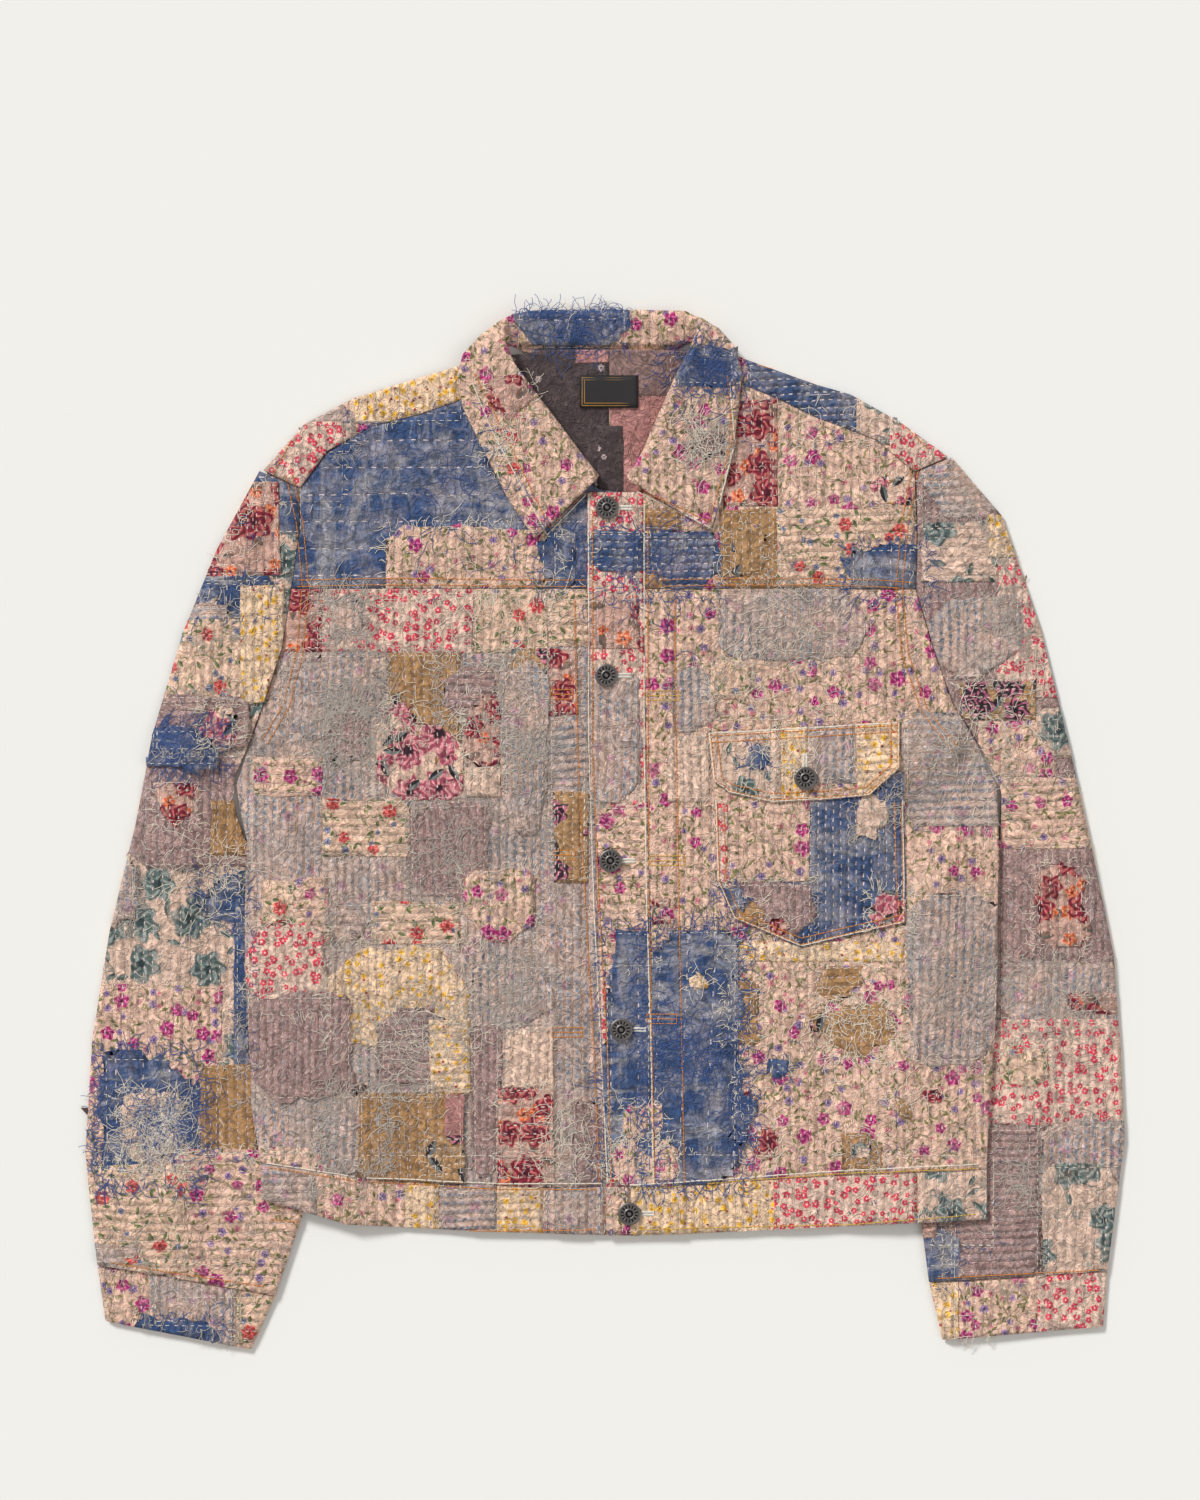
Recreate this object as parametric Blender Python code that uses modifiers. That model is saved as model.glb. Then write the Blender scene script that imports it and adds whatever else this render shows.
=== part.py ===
"""A patched jacket of quilted cloth, buttoned and laid flat on its back.

Every cut piece is a wall of cloth of its own. The pieces lie on each other in layers:
back, then fronts, with the sleeves drawn down beside the body and tucked under its sides,
so that the sides of the body climb over them. Tables are in millimetres, +X to the side
of the button placket, +Y to the collar, +Z up. The meshes are in metres.
"""
import bpy
import bmesh
from math import cos, pi, sin
from mathutils import Vector

MM = 0.001

# Driving sizes, mm
CLOTH = 2.0          # wall of the quilted, patched cloth
SEAM = 0.3           # gap between two pieces that are sewn together
AIR = 1.0            # air between two layers that lie on each other
PUFF = 2.0           # air under the middle of a front
LAYER = CLOTH + AIR
OVER_SLEEVE = 2 * LAYER   # rise of the body's sides over a tucked sleeve
RAMP = 38.0          # width of that rise
YOKE_Y = 178.0       # seam between yokes and fronts
PLEAT_RISE = 1.2     # a pleat's fold stands this far above the front
PLEAT_EDGE = 1.5     # width of the fold's edge
PLACKET_Z = 5.3      # underside of the placket
NECK_RISE = 3.0      # rise of the yokes over the collar's hidden fall
ROLL_RADIUS = 3.0    # roll of the collar
BUTTON_RADIUS = 8.5
BUTTON_HEIGHT = 3.2
LABEL_THICK = 0.9
POCKET_THICK = 1.5

# Body rows, from the yoke seam down. left, right: side edges (armhole, then side seam);
# left_over, right_over: where the body has come up over the sleeve; over: 1 where it has.
BODY_ROWS = (
    # y,    left, left_over, right_over, right, over
    (178.0, -232.0, -214.0, 211.0, 230.0, 0.0),
    (134.0, -239.0, -221.0, 224.0, 243.0, 0.0),
    (94.0, -252.0, -234.0, 238.0, 257.0, 0.0),
    (60.0, -264.0, -246.0, 257.0, 277.0, 0.0),
    (33.0, -273.0, -255.0, 272.0, 290.0, 0.0),
    (14.0, -270.0, -250.0, 270.0, 290.5, 0.45),
    (-8.0, -264.5, -238.0, 266.0, 291.0, 1.0),
    (-55.0, -266.0, -205.0, 230.0, 290.0, 1.0),
    (-105.0, -266.0, -185.0, 208.0, 290.0, 1.0),
    (-155.0, -263.0, -180.0, 202.0, 288.0, 1.0),
    (-205.0, -261.0, -182.0, 204.0, 284.0, 1.0),
    (-250.0, -254.0, -190.0, 210.0, 282.0, 1.0),
)
# Lines down the middle of the fronts: x at the yoke seam and at the hem seam
LEFT_PLEATS = ((-44.0, -38.0), (-24.0, -14.0))
LEFT_FRONT_EDGE = (22.0, 30.0)
PLACKET_LEFT = (-13.0, 1.0)
PLACKET_RIGHT = (28.0, 37.0)
RIGHT_PLEAT = (48.0, 57.0)
HEM_SEAM = ((-254.0, -246.0), (-170.0, -259.0), (-39.0, -265.0), (61.0, -263.0), (174.0, -256.0), (282.0, -251.0))
HEM_EDGE = (
    (-254.0, -273.0), (-238.0, -287.0), (-219.0, -290.0), (-109.0, -297.0), (27.0, -301.0),
    (127.0, -296.0), (282.0, -288.0),
)

# Yokes: the shoulder fold and the front seam of the back yoke, from the armhole to the neck
LEFT_SHOULDER = ((-253.0, 266.0), (-223.0, 300.0), (-187.0, 319.0), (-143.0, 333.0), (-104.0, 344.0), (-80.0, 352.0))
RIGHT_SHOULDER = ((254.0, 276.0), (218.0, 302.0), (182.0, 322.0), (157.0, 329.0), (98.0, 350.0), (72.0, 356.0))
LEFT_STRIP_SEAM = ((-226.0, 253.0), (-206.0, 280.0), (-172.0, 299.0), (-138.0, 307.0), (-111.0, 316.0), (-84.0, 331.0))
RIGHT_STRIP_SEAM = ((229.0, 265.0), (200.0, 289.0), (157.0, 305.0), (128.0, 319.0), (100.0, 330.0), (76.0, 337.0))
LEFT_YOKE_ARMHOLE = ((-226.0, 253.0), (-226.0, 222.0), (-232.0, 178.0))
RIGHT_YOKE_ARMHOLE = ((229.0, 265.0), (231.0, 215.0), (230.0, 178.0))
LEFT_NECKLINE = (
    (-84.0, 331.0), (-66.0, 312.0), (-49.0, 290.0), (-30.0, 268.0), (-4.0, 252.0), (21.0, 249.0),
    (22.0, 225.0), (22.0, 202.0), (22.0, 178.0),
)
RIGHT_NECKLINE = (
    (76.0, 337.0), (64.0, 316.0), (54.0, 294.0), (43.0, 272.0), (31.0, 256.0), (28.3, 250.0),
    (28.3, 225.0), (28.3, 202.0), (28.3, 178.0),
)

# Collar stations, from the left front end round the back to the right front end.
# neck: where the stand is sewn on; roll: top of the roll; edge: free edge of the leaf.
COLLAR = (
    # neck x, y, z      roll x, y, z         edge x, y, z
    ((-11.0, 257.0, 7.0), (-5.0, 261.0, 11.0), (-52.0, 215.0, 8.6)),
    ((-28.0, 270.0, 6.0), (-17.0, 276.0, 12.5), (-72.0, 245.0, 9.0)),
    ((-47.0, 293.0, 6.0), (-35.0, 300.0, 14.0), (-90.0, 281.0, 9.0)),
    ((-64.0, 315.0, 7.5), (-52.0, 322.0, 16.0), (-105.0, 312.0, 10.5)),
    ((-79.5, 337.0, 8.0), (-68.0, 344.0, 18.0), (-109.0, 335.0, 10.5)),
    ((-77.5, 354.0, 8.0), (-75.0, 362.0, 18.5), (-105.0, 351.0, 9.5)),
    ((-74.0, 357.5, 5.0), (-76.0, 374.0, 15.0), (-91.0, 366.0, 5.0)),
    ((-66.0, 358.5, 4.5), (-68.0, 380.0, 12.0), (-76.0, 362.0, 2.0)),
    ((-50.0, 358.5, 4.0), (-50.0, 383.0, 8.5), (-52.0, 350.0, 1.0)),
    ((-4.0, 358.5, 4.0), (-4.0, 384.0, 7.0), (-4.0, 338.0, 1.0)),
    ((42.0, 358.5, 4.0), (42.0, 383.0, 8.5), (44.0, 350.0, 1.0)),
    ((58.0, 359.5, 4.5), (60.0, 382.0, 12.0), (68.0, 364.0, 2.0)),
    ((66.0, 360.5, 5.0), (68.0, 377.0, 15.0), (84.0, 370.0, 5.0)),
    ((70.5, 358.5, 8.0), (68.0, 366.0, 18.5), (95.0, 358.0, 9.5)),
    ((72.5, 342.0, 8.0), (60.0, 348.0, 18.0), (101.0, 337.0, 10.5)),
    ((61.0, 318.0, 7.5), (48.0, 324.0, 16.0), (99.0, 312.0, 10.5)),
    ((51.0, 296.0, 6.0), (38.0, 301.0, 14.0), (95.0, 282.0, 9.0)),
    ((40.0, 273.0, 7.0), (28.0, 278.0, 12.5), (87.0, 248.0, 9.0)),
    ((27.0, 258.5, 8.6), (17.0, 261.0, 11.5), (78.0, 221.0, 8.8)),
)

# Sleeves. outer: fold from the shoulder to the cuff seam. inner: from the underarm, under the
# body's side, to the cuff seam. front_armhole, back_armhole: edges sewn to the body.
SLEEVES = {
    "left": {
        "outer": (
            (-256.2, 266.0), (-288.0, 207.0), (-313.0, 145.0), (-335.0, 71.0), (-348.0, 3.0), (-367.0, -75.0),
            (-380.0, -157.0), (-385.0, -240.0), (-376.0, -322.0),
        ),
        "inner": (
            (-275.6, 34.0), (-277.0, 22.0), (-272.5, 8.0), (-266.5, -7.0), (-236.0, -48.0), (-212.0, -98.0),
            (-203.0, -175.0), (-212.0, -250.0), (-244.0, -345.0),
        ),
        "front_armhole": (
            (-256.0, 265.5), (-227.3, 252.8), (-226.5, 222.0), (-232.4, 178.0), (-239.4, 134.0), (-252.4, 94.0),
            (-265.4, 60.0), (-275.5, 34.0),
        ),
        "back_armhole": (
            (-256.0, 265.5), (-248.0, 237.0), (-240.0, 207.0), (-232.4, 178.0), (-239.4, 134.0), (-252.4, 94.0),
            (-265.4, 60.0), (-275.5, 34.0),
        ),
        "cuff_end": ((-370.0, -364.0), (-262.0, -385.0)),
    },
    "right": {
        "outer": (
            (257.2, 276.0), (294.0, 233.0), (323.0, 148.0), (344.0, 62.0), (362.0, -20.0), (377.0, -94.0),
            (382.0, -164.0), (385.0, -230.0), (372.0, -327.0),
        ),
        "inner": (
            (292.6, 34.0), (295.6, 22.0), (293.2, 8.0), (291.6, -8.0), (262.0, -50.0), (238.0, -98.0),
            (226.0, -175.0), (229.0, -250.0), (240.0, -335.0),
        ),
        "front_armhole": (
            (257.0, 275.5), (230.6, 264.4), (231.6, 215.0), (230.5, 178.0), (243.5, 134.0), (257.5, 94.0),
            (278.6, 60.0), (292.4, 34.0),
        ),
        "back_armhole": (
            (257.0, 275.5), (248.0, 243.0), (238.8, 210.0), (230.5, 178.0), (243.5, 134.0), (257.5, 94.0),
            (278.6, 60.0), (292.4, 34.0),
        ),
        "cuff_end": ((369.0, -368.0), (250.0, -378.0)),
    },
}
SLEEVE_STATIONS = 8
SLEEVE_SPANS = 7
FOLD_INSET = 3.0     # a sleeve's fold is rounded over this width

POCKET = ((81.0, 34.0), (83.0, -39.0), (95.0, -66.0), (145.0, -87.0), (221.0, -69.0), (222.0, -38.0), (221.0, 43.0))
FLAP = ((76.0, 72.0), (80.0, 36.0), (92.0, 27.0), (124.0, 20.0), (163.0, 22.0), (195.0, 25.0), (217.0, 45.0), (218.0, 80.0))
FLAP_DROP_Y = 46.0   # the flap is up over the pocket below this line
LABEL = ((-18.5, 312.0), (-18.5, 336.0), (24.5, 336.0), (24.5, 312.0))
PLACKET_TOP = 249.5
BUTTONS = (("button_neck", 1.5, 238.0), ("button_chest", 1.0, 114.0), ("button_middle", 4.0, -23.0), ("button_low", 12.0, -148.0))


def between(table, x):
    """Value of a table of (x, value) rows at x, straight between the rows."""
    rows = sorted(table)
    if x <= rows[0][0]:
        return rows[0][1]
    for (x0, v0), (x1, v1) in zip(rows, rows[1:]):
        if x <= x1:
            return v0 + (v1 - v0) * (x - x0) / (x1 - x0)
    return rows[-1][1]


def along(points, t):
    """Point at the share t of a line through points, each of its spans counting the same."""
    place = max(0.0, min(1.0, t)) * (len(points) - 1)
    span = min(int(place), len(points) - 2)
    return Vector(points[span]).lerp(Vector(points[span + 1]), place - span)


def fabric(name, colour, roughness=0.9, metallic=0.0):
    material = bpy.data.materials.new(name)
    material.use_nodes = True
    shader = material.node_tree.nodes["Principled BSDF"]
    shader.inputs["Base Color"].default_value = (*colour, 1.0)
    shader.inputs["Roughness"].default_value = roughness
    shader.inputs["Metallic"].default_value = metallic
    return material


def add_object(name, bm, material, collection):
    bmesh.ops.recalc_face_normals(bm, faces=bm.faces[:])
    bmesh.ops.scale(bm, vec=Vector((MM, MM, MM)), verts=bm.verts[:])
    mesh = bpy.data.meshes.new(name)
    bm.to_mesh(mesh)
    bm.free()
    mesh.materials.append(material)
    obj = bpy.data.objects.new(name, mesh)
    collection.objects.link(obj)
    return obj


def grid_of(columns, rows, place):
    """A sheet of columns by rows quads whose corner (i, j) lies at place(i, j)."""
    bm = bmesh.new()
    bmesh.ops.create_grid(bm, x_segments=columns, y_segments=rows, size=1.0)
    for vert in bm.verts:
        i = round((vert.co.x + 1.0) / 2.0 * columns)
        j = round((1.0 - vert.co.y) / 2.0 * rows)
        vert.co = Vector(place(i, j))
    return bm


def thicken(bm, thickness):
    """Turn a sheet into a wall by drawing it straight up."""
    bmesh.ops.triangulate(bm, faces=bm.faces[:])
    raised = bmesh.ops.extrude_face_region(bm, geom=bm.faces[:], use_keep_orig=True)
    for item in raised["geom"]:
        if isinstance(item, bmesh.types.BMVert):
            item.co.z += thickness
    return bm


def body_lines(side, row):
    """The three outer columns of a body row: side edge, top and foot of the rise."""
    y, left, left_over, right_over, right, over = BODY_ROWS[row]
    rise = over * OVER_SLEEVE
    if side == "left":
        return ((left, rise), (left_over, rise), (left_over + RAMP, 0.0))
    return ((right, rise), (right_over, rise), (right_over - RAMP, 0.0))


def row_y(row, x):
    """The rows are level, but for the hem seam, which sags to the middle."""
    if row == len(BODY_ROWS) - 1:
        return between(HEM_SEAM, x)
    return BODY_ROWS[row][0]


def drift(line, row):
    """x of a line down the front, which leans a little from yoke to hem."""
    top, bottom = BODY_ROWS[0][0], BODY_ROWS[-1][0]
    return line[0] + (line[1] - line[0]) * (top - BODY_ROWS[row][0]) / (top - bottom)


def back_columns(row):
    left, right = body_lines("left", row), body_lines("right", row)
    inner = [(left[2][0] + (right[2][0] - left[2][0]) * share, 0.0) for share in (0.25, 0.5, 0.75)]
    return list(left) + inner + list(reversed(right))


def left_front_columns(row):
    """x and underside of each column of the front that the placket covers."""
    columns = [(x, z + CLOTH + air) for (x, z), air in zip(body_lines("left", row), (SEAM, AIR, PUFF))]
    outer, inner = (drift(line, row) for line in LEFT_PLEATS)
    middle = (columns[-1][0] + outer) / 2
    flat = CLOTH + AIR
    columns += [
        (middle, CLOTH + PUFF), (outer - PLEAT_EDGE, flat), (outer, flat + PLEAT_RISE),
        (inner, flat + PLEAT_RISE), (inner + PLEAT_EDGE, flat), (drift(LEFT_FRONT_EDGE, row), flat),
    ]
    return columns


def right_front_columns(row):
    """x and underside of each column of the front that is sewn to the placket."""
    columns = [(x, z + CLOTH + air) for (x, z), air in zip(body_lines("right", row), (SEAM, AIR, PUFF))]
    seam, pleat = drift(PLACKET_RIGHT, row) + SEAM, drift(RIGHT_PLEAT, row)
    near = pleat + RAMP
    columns += [
        ((columns[-1][0] + near) / 2, CLOTH + PUFF), (near, CLOTH + PUFF),
        (pleat + PLEAT_EDGE, PLACKET_Z - PLEAT_RISE), (pleat, PLACKET_Z), (seam, PLACKET_Z),
    ]
    return columns


def body_sheet(columns_of):
    columns = len(columns_of(0)) - 1

    def place(i, j):
        x, z = columns_of(j)[i]
        return x, row_y(j, x), z

    return grid_of(columns, len(BODY_ROWS) - 1, place)


def band_sheet(columns_of, first=None):
    """A hem band below the last body row; first moves the overlapping end to that x."""
    columns = columns_of(len(BODY_ROWS) - 1)
    if first is not None:
        columns = columns[:-1] + [(first, columns[-1][1])]

    def place(i, j):
        x, z = columns[i]
        seam, edge = between(HEM_SEAM, x) - SEAM, between(HEM_EDGE, x)
        return x, seam + (edge - seam) * j / 2, z

    return grid_of(len(columns) - 1, 2, place)


def neck_rise(x, y):
    """The yokes climb over the collar's fall, which lies folded under the back of the neck."""
    up = max(0.0, min(1.0, (y - 283.0) / 25.0))
    side = max(0.0, min(1.0, (140.0 - abs(x)) / 30.0))
    return NECK_RISE * up * side


def coons(top, bottom, left, right):
    """A sheet between four edges: top and bottom run across, left and right run down."""
    corners = (along(top, 0), along(top, 1), along(bottom, 0), along(bottom, 1))

    def point(s, t):
        across = along(top, s) * (1 - t) + along(bottom, s) * t
        down = along(left, t) * (1 - s) + along(right, t) * s
        upper = corners[0] * (1 - s) + corners[1] * s
        lower = corners[2] * (1 - s) + corners[3] * s
        return across + down - upper * (1 - t) - lower * t

    return point


def front_yoke(armhole, strip_seam, neckline, centre_z):
    columns, rows = 10, 8
    inset = Vector((0.0, -1.6 * SEAM))
    strip = [Vector(p) + inset for p in strip_seam]
    seam_y = YOKE_Y + SEAM
    edge = [Vector((p[0], max(p[1], seam_y))) for p in armhole]
    edge[0] += inset
    neck = [Vector((p[0], max(p[1], seam_y))) + inset * (p[1] > seam_y) for p in neckline]
    point = coons(strip, (edge[-1], neck[-1]), edge, neck)

    def place(i, j):
        xy = point(i / columns, j / rows)
        near_edge = min(1.0, i * 0.5)
        flat = min(1.0, max(0.0, (abs(xy.x) - 40.0) / 45.0))
        air = SEAM + near_edge * (AIR - SEAM) + flat * near_edge * (PUFF - AIR) * min(1.0, j * 0.5)
        z = neck_rise(*xy) + CLOTH + air
        return xy.x, xy.y, z + (1 - flat) * max(0.0, centre_z - CLOTH - AIR)

    return grid_of(columns, rows, place)


def back_yoke_sheet():
    """The middle of the back yoke's wall: up the back, over the shoulders, down to the front seams."""
    flat_rows, fold_rows, strip_rows = 5, 2, 2
    radius = LAYER / 2
    reach = radius + CLOTH / 2
    left = [(t / 5, LEFT_SHOULDER, LEFT_STRIP_SEAM, -232.0 + 152.0 * t / 5) for t in range(6)]
    right = [(1 - t / 5, RIGHT_SHOULDER, RIGHT_STRIP_SEAM, 72.0 + 158.0 * t / 5) for t in range(6)]
    neck_x = (-42.0, -4.0, 34.0)
    lines = []
    for t, shoulder, strip, bottom_x in left:
        lines.append((along(shoulder, t), along(strip, t), bottom_x))
    for x in neck_x:
        lines.append((Vector((x, 355.0 + reach)), None, x))
    for t, shoulder, strip, bottom_x in right:
        lines.append((along(shoulder, t), along(strip, t), bottom_x))
    rows = flat_rows + fold_rows + strip_rows

    def place(i, j):
        fold, strip, bottom_x = lines[i]
        foot = Vector((bottom_x, YOKE_Y + SEAM))
        to_front = (strip - fold) if strip is not None else Vector((0.0, -20.0))
        away = -to_front.normalized()
        start = fold - away * reach
        if j <= flat_rows:
            xy = foot.lerp(start, j / flat_rows)
            return xy.x, xy.y, neck_rise(*xy) + CLOTH / 2
        if j < flat_rows + fold_rows:
            turn = pi * (j - flat_rows) / fold_rows
            xy = start + away * radius * sin(turn)
            return xy.x, xy.y, neck_rise(*start) + CLOTH / 2 + radius * (1 - cos(turn))
        end = strip if strip is not None else start - away * 2.0
        share = (j - flat_rows - fold_rows) / strip_rows
        xy = start.lerp(end, share)
        return xy.x, xy.y, neck_rise(*xy) + CLOTH / 2 + LAYER

    bm = grid_of(len(lines) - 1, rows, place)
    flat_z = NECK_RISE + CLOTH / 2
    middles = [(face, face.calc_center_median()) for face in bm.faces]
    neck = [face for face, middle in middles if -80.0 < middle.x < 72.0 and middle.z > flat_z + SEAM]
    bmesh.ops.delete(bm, geom=neck, context="FACES")
    return bm


def collar_sheet():
    """The middle of the collar's wall: stand, roll and leaf through each station."""

    def station(neck, roll, edge):
        neck, roll, edge = Vector(neck), Vector(roll), Vector(edge)
        out = (roll - (neck + edge) / 2).normalized()
        apart = neck - edge
        apart = (apart - out * apart.dot(out)).normalized()
        stand = roll - out * ROLL_RADIUS + apart * ROLL_RADIUS
        fall = roll - out * ROLL_RADIUS - apart * ROLL_RADIUS
        leaf = [fall.lerp(edge, share) for share in (0.3, 0.6)]
        for point, share in zip(leaf, (0.3, 0.6)):
            point.z = edge.z + (fall.z - edge.z) * (1 - share) ** 2
        return (neck, (neck + stand) / 2, stand, roll, fall, *leaf, edge)

    sections = [station(*row) for row in COLLAR]
    return grid_of(len(sections) - 1, len(sections[0]) - 1, lambda i, j: sections[i][j])


def wall(name, bm, material, collection):
    """A sheet given the cloth's thickness on both sides, for pieces that fold over."""
    obj = add_object(name, bm, material, collection)
    solidify = obj.modifiers.new("cloth", "SOLIDIFY")
    solidify.thickness = CLOTH * MM
    solidify.offset = 0.0
    return obj


def ring(point_of, top_of):
    """Outer and inner section of a flattened tube. point_of(s, upper) gives its plan."""
    width = (point_of(1.0, True) - point_of(0.0, True)).length
    fold, wall_in = FOLD_INSET / width, CLOTH / width
    shares = [k / SLEEVE_SPANS for k in range(1, SLEEVE_SPANS)]
    height = 2 * CLOTH + AIR
    shoulder = height - CLOTH / 6
    rows = [(0.0, wall_in, True, height / 2, height / 2), (fold, fold, True, shoulder, height - CLOTH)]
    rows += [(s, s, True, top_of(s), top_of(s) - CLOTH) for s in shares]
    rows += [(1 - fold, 1 - fold, True, shoulder, height - CLOTH), (1.0, 1 - wall_in, True, height / 2, height / 2)]
    rows += [(s, s, False, 0.0, CLOTH) for s in (1 - fold, *reversed(shares), fold)]
    outer = [Vector((*point_of(s, upper), z)) for s, _, upper, z, _ in rows]
    inner = [Vector((*point_of(s, upper), z)) for _, s, upper, _, z in rows]
    return outer, inner


def tube(sections):
    """A loft through the outer sections one way and the inner sections back: an open tube."""
    rings = [outer for outer, _ in sections] + [inner for _, inner in reversed(sections)]
    bm = bmesh.new()
    verts = [[bm.verts.new(point) for point in points] for points in rings]
    for one, two in zip(verts, verts[1:] + verts[:1]):
        for k in range(len(one)):
            n = (k + 1) % len(one)
            bm.faces.new((one[k], one[n], two[n], two[k]))
    return bm


def sleeve_sections(side):
    cut = SLEEVES[side]
    shoulder, underarm = Vector(cut["outer"][0]), Vector(cut["inner"][0])
    sections = []
    for k in range(SLEEVE_STATIONS + 1):
        t = k / SLEEVE_STATIONS

        def point_of(s, is_upper, t=t):
            """The armhole's curve, which dies out down the sleeve."""
            curve = along(cut["front_armhole" if is_upper else "back_armhole"], s) - shoulder.lerp(underarm, s)
            return along(cut["outer"], t).lerp(along(cut["inner"], t), s) + curve * (1 - t) ** 3

        def top_of(s, t=t):
            puff = PUFF * sin(pi * min(1.0, s / 0.6)) * sin(pi * t)
            return 2 * CLOTH + AIR + puff

        sections.append(ring(point_of, top_of))
    return sections


def cuff_sections(side):
    cut = SLEEVES[side]
    seam = [Vector(cut["outer"][-1]), Vector(cut["inner"][-1])]
    end = [Vector(p) for p in cut["cuff_end"]]
    down = ((end[0] + end[1]) / 2 - (seam[0] + seam[1]) / 2).normalized() * SEAM
    seam = [p + down for p in seam]
    sections = []
    for t in (0.0, 0.5, 1.0):
        ends = [a.lerp(b, t) for a, b in zip(seam, end)]
        sections.append(ring(lambda s, _, ends=ends: ends[0].lerp(ends[1], s), lambda s: 2 * CLOTH + AIR))
    return sections


def overlay(sheet, outline, lift, folds=()):
    """A piece cut from a copy of the sheet under it, moved out by lift(x, y).

    The outline is convex. Each fold is a level line where the lift changes slope.
    """
    bmesh.ops.triangulate(sheet, faces=sheet.faces[:])
    middle = sum((Vector(p) for p in outline), Vector((0.0, 0.0))) / len(outline)
    for a, b in zip(outline, outline[1:] + outline[:1]):
        a, b = Vector(a), Vector(b)
        normal = Vector((b.y - a.y, a.x - b.x))
        if normal.dot(middle - a) > 0:
            normal.negate()
        geometry = sheet.verts[:] + sheet.edges[:] + sheet.faces[:]
        bmesh.ops.bisect_plane(
            sheet, geom=geometry, dist=0.01, plane_co=(a.x, a.y, 0.0), plane_no=(normal.x, normal.y, 0.0),
            clear_outer=True)
    for y in folds:
        geometry = sheet.verts[:] + sheet.edges[:] + sheet.faces[:]
        bmesh.ops.bisect_plane(sheet, geom=geometry, dist=0.01, plane_co=(0.0, y, 0.0), plane_no=(0.0, 1.0, 0.0))
    for vert in sheet.verts:
        vert.co.z += lift(vert.co.x, vert.co.y)
    return sheet


def placket_sheet():
    rows = (PLACKET_TOP,) + tuple(row[0] for row in BODY_ROWS)

    def place(i, j):
        row = max(0, j - 1)
        x = drift(PLACKET_LEFT if i == 0 else PLACKET_RIGHT, row)
        return x, rows[j] if j < len(rows) - 1 else between(HEM_SEAM, x), PLACKET_Z

    return grid_of(1, len(rows) - 1, place)


def button(name, x, y, z, material, collection):
    bm = bmesh.new()
    bmesh.ops.create_cone(
        bm, cap_ends=True, segments=24, radius1=BUTTON_RADIUS, radius2=BUTTON_RADIUS - 1.0, depth=BUTTON_HEIGHT)
    bmesh.ops.translate(bm, vec=(x, y, z + BUTTON_HEIGHT / 2), verts=bm.verts[:])
    return add_object(name, bm, material, collection)


def main():
    for obj in list(bpy.data.objects):
        bpy.data.objects.remove(obj)
    jacket = bpy.data.collections.new("patched_boro_jacket")
    bpy.context.scene.collection.children.link(jacket)

    rose = fabric("rose_cotton", (0.72, 0.54, 0.44))
    gauze = fabric("grey_gauze", (0.34, 0.37, 0.38))
    denim = fabric("worn_denim", (0.06, 0.12, 0.30))
    khaki = fabric("khaki_twill", (0.40, 0.26, 0.14))
    black = fabric("label_cloth", (0.01, 0.01, 0.01))
    metal = fabric("gunmetal", (0.10, 0.10, 0.11), 0.4, 1.0)

    def cut(name, sheet, material, thickness=CLOTH):
        return add_object(name, thicken(sheet, thickness), material, jacket)

    cut("back_panel", body_sheet(back_columns), gauze)
    cut("front_left", body_sheet(left_front_columns), gauze)
    cut("front_right", body_sheet(right_front_columns), rose)
    cut("hem_band_back", band_sheet(back_columns), khaki)
    cut("hem_band_left", band_sheet(left_front_columns, 26.0), rose)
    cut("hem_band_right", band_sheet(right_front_columns, 1.0), rose)
    cut("placket", placket_sheet(), rose)
    cut("front_yoke_left", front_yoke(LEFT_YOKE_ARMHOLE, LEFT_STRIP_SEAM, LEFT_NECKLINE, CLOTH + AIR), denim)
    cut("front_yoke_right", front_yoke(RIGHT_YOKE_ARMHOLE, RIGHT_STRIP_SEAM, RIGHT_NECKLINE, PLACKET_Z), rose)
    wall("back_yoke", back_yoke_sheet(), khaki, jacket)
    wall("collar", collar_sheet(), rose, jacket)
    for side in SLEEVES:
        add_object("sleeve_" + side, tube(sleeve_sections(side)), rose, jacket)
        add_object("cuff_" + side, tube(cuff_sections(side)), gauze, jacket)

    over_front = CLOTH + SEAM
    over_pocket = over_front + POCKET_THICK + SEAM
    cut("pocket", overlay(body_sheet(right_front_columns), POCKET, lambda x, y: over_front), denim, POCKET_THICK)

    def flap_lift(x, y):
        share = max(0.0, min(1.0, (FLAP[-1][1] - y) / (FLAP[-1][1] - FLAP_DROP_Y)))
        return over_front + share * (over_pocket - over_front)

    cut("pocket_flap", overlay(body_sheet(right_front_columns), FLAP, flap_lift, (FLAP_DROP_Y,)), rose, POCKET_THICK)
    label = bmesh.new()
    bmesh.ops.create_cube(label, size=1.0)
    low, high = Vector(LABEL[0]), Vector(LABEL[2])
    bmesh.ops.scale(label, vec=(high.x - low.x, high.y - low.y, LABEL_THICK), verts=label.verts[:])
    label_z = NECK_RISE + CLOTH + SEAM + LABEL_THICK / 2
    bmesh.ops.translate(label, vec=((low.x + high.x) / 2, (low.y + high.y) / 2, label_z), verts=label.verts[:])
    add_object("neck_label", label, black, jacket)

    on_placket = PLACKET_Z + CLOTH + SEAM
    for name, x, y in BUTTONS:
        button(name, x, y, on_placket, metal, jacket)
    button("button_hem", 18.0, -284.0, on_placket, metal, jacket)
    on_flap = CLOTH + PUFF + over_pocket + POCKET_THICK + SEAM
    button("button_flap", 148.0, 38.0, on_flap, metal, jacket)


main()
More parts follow.
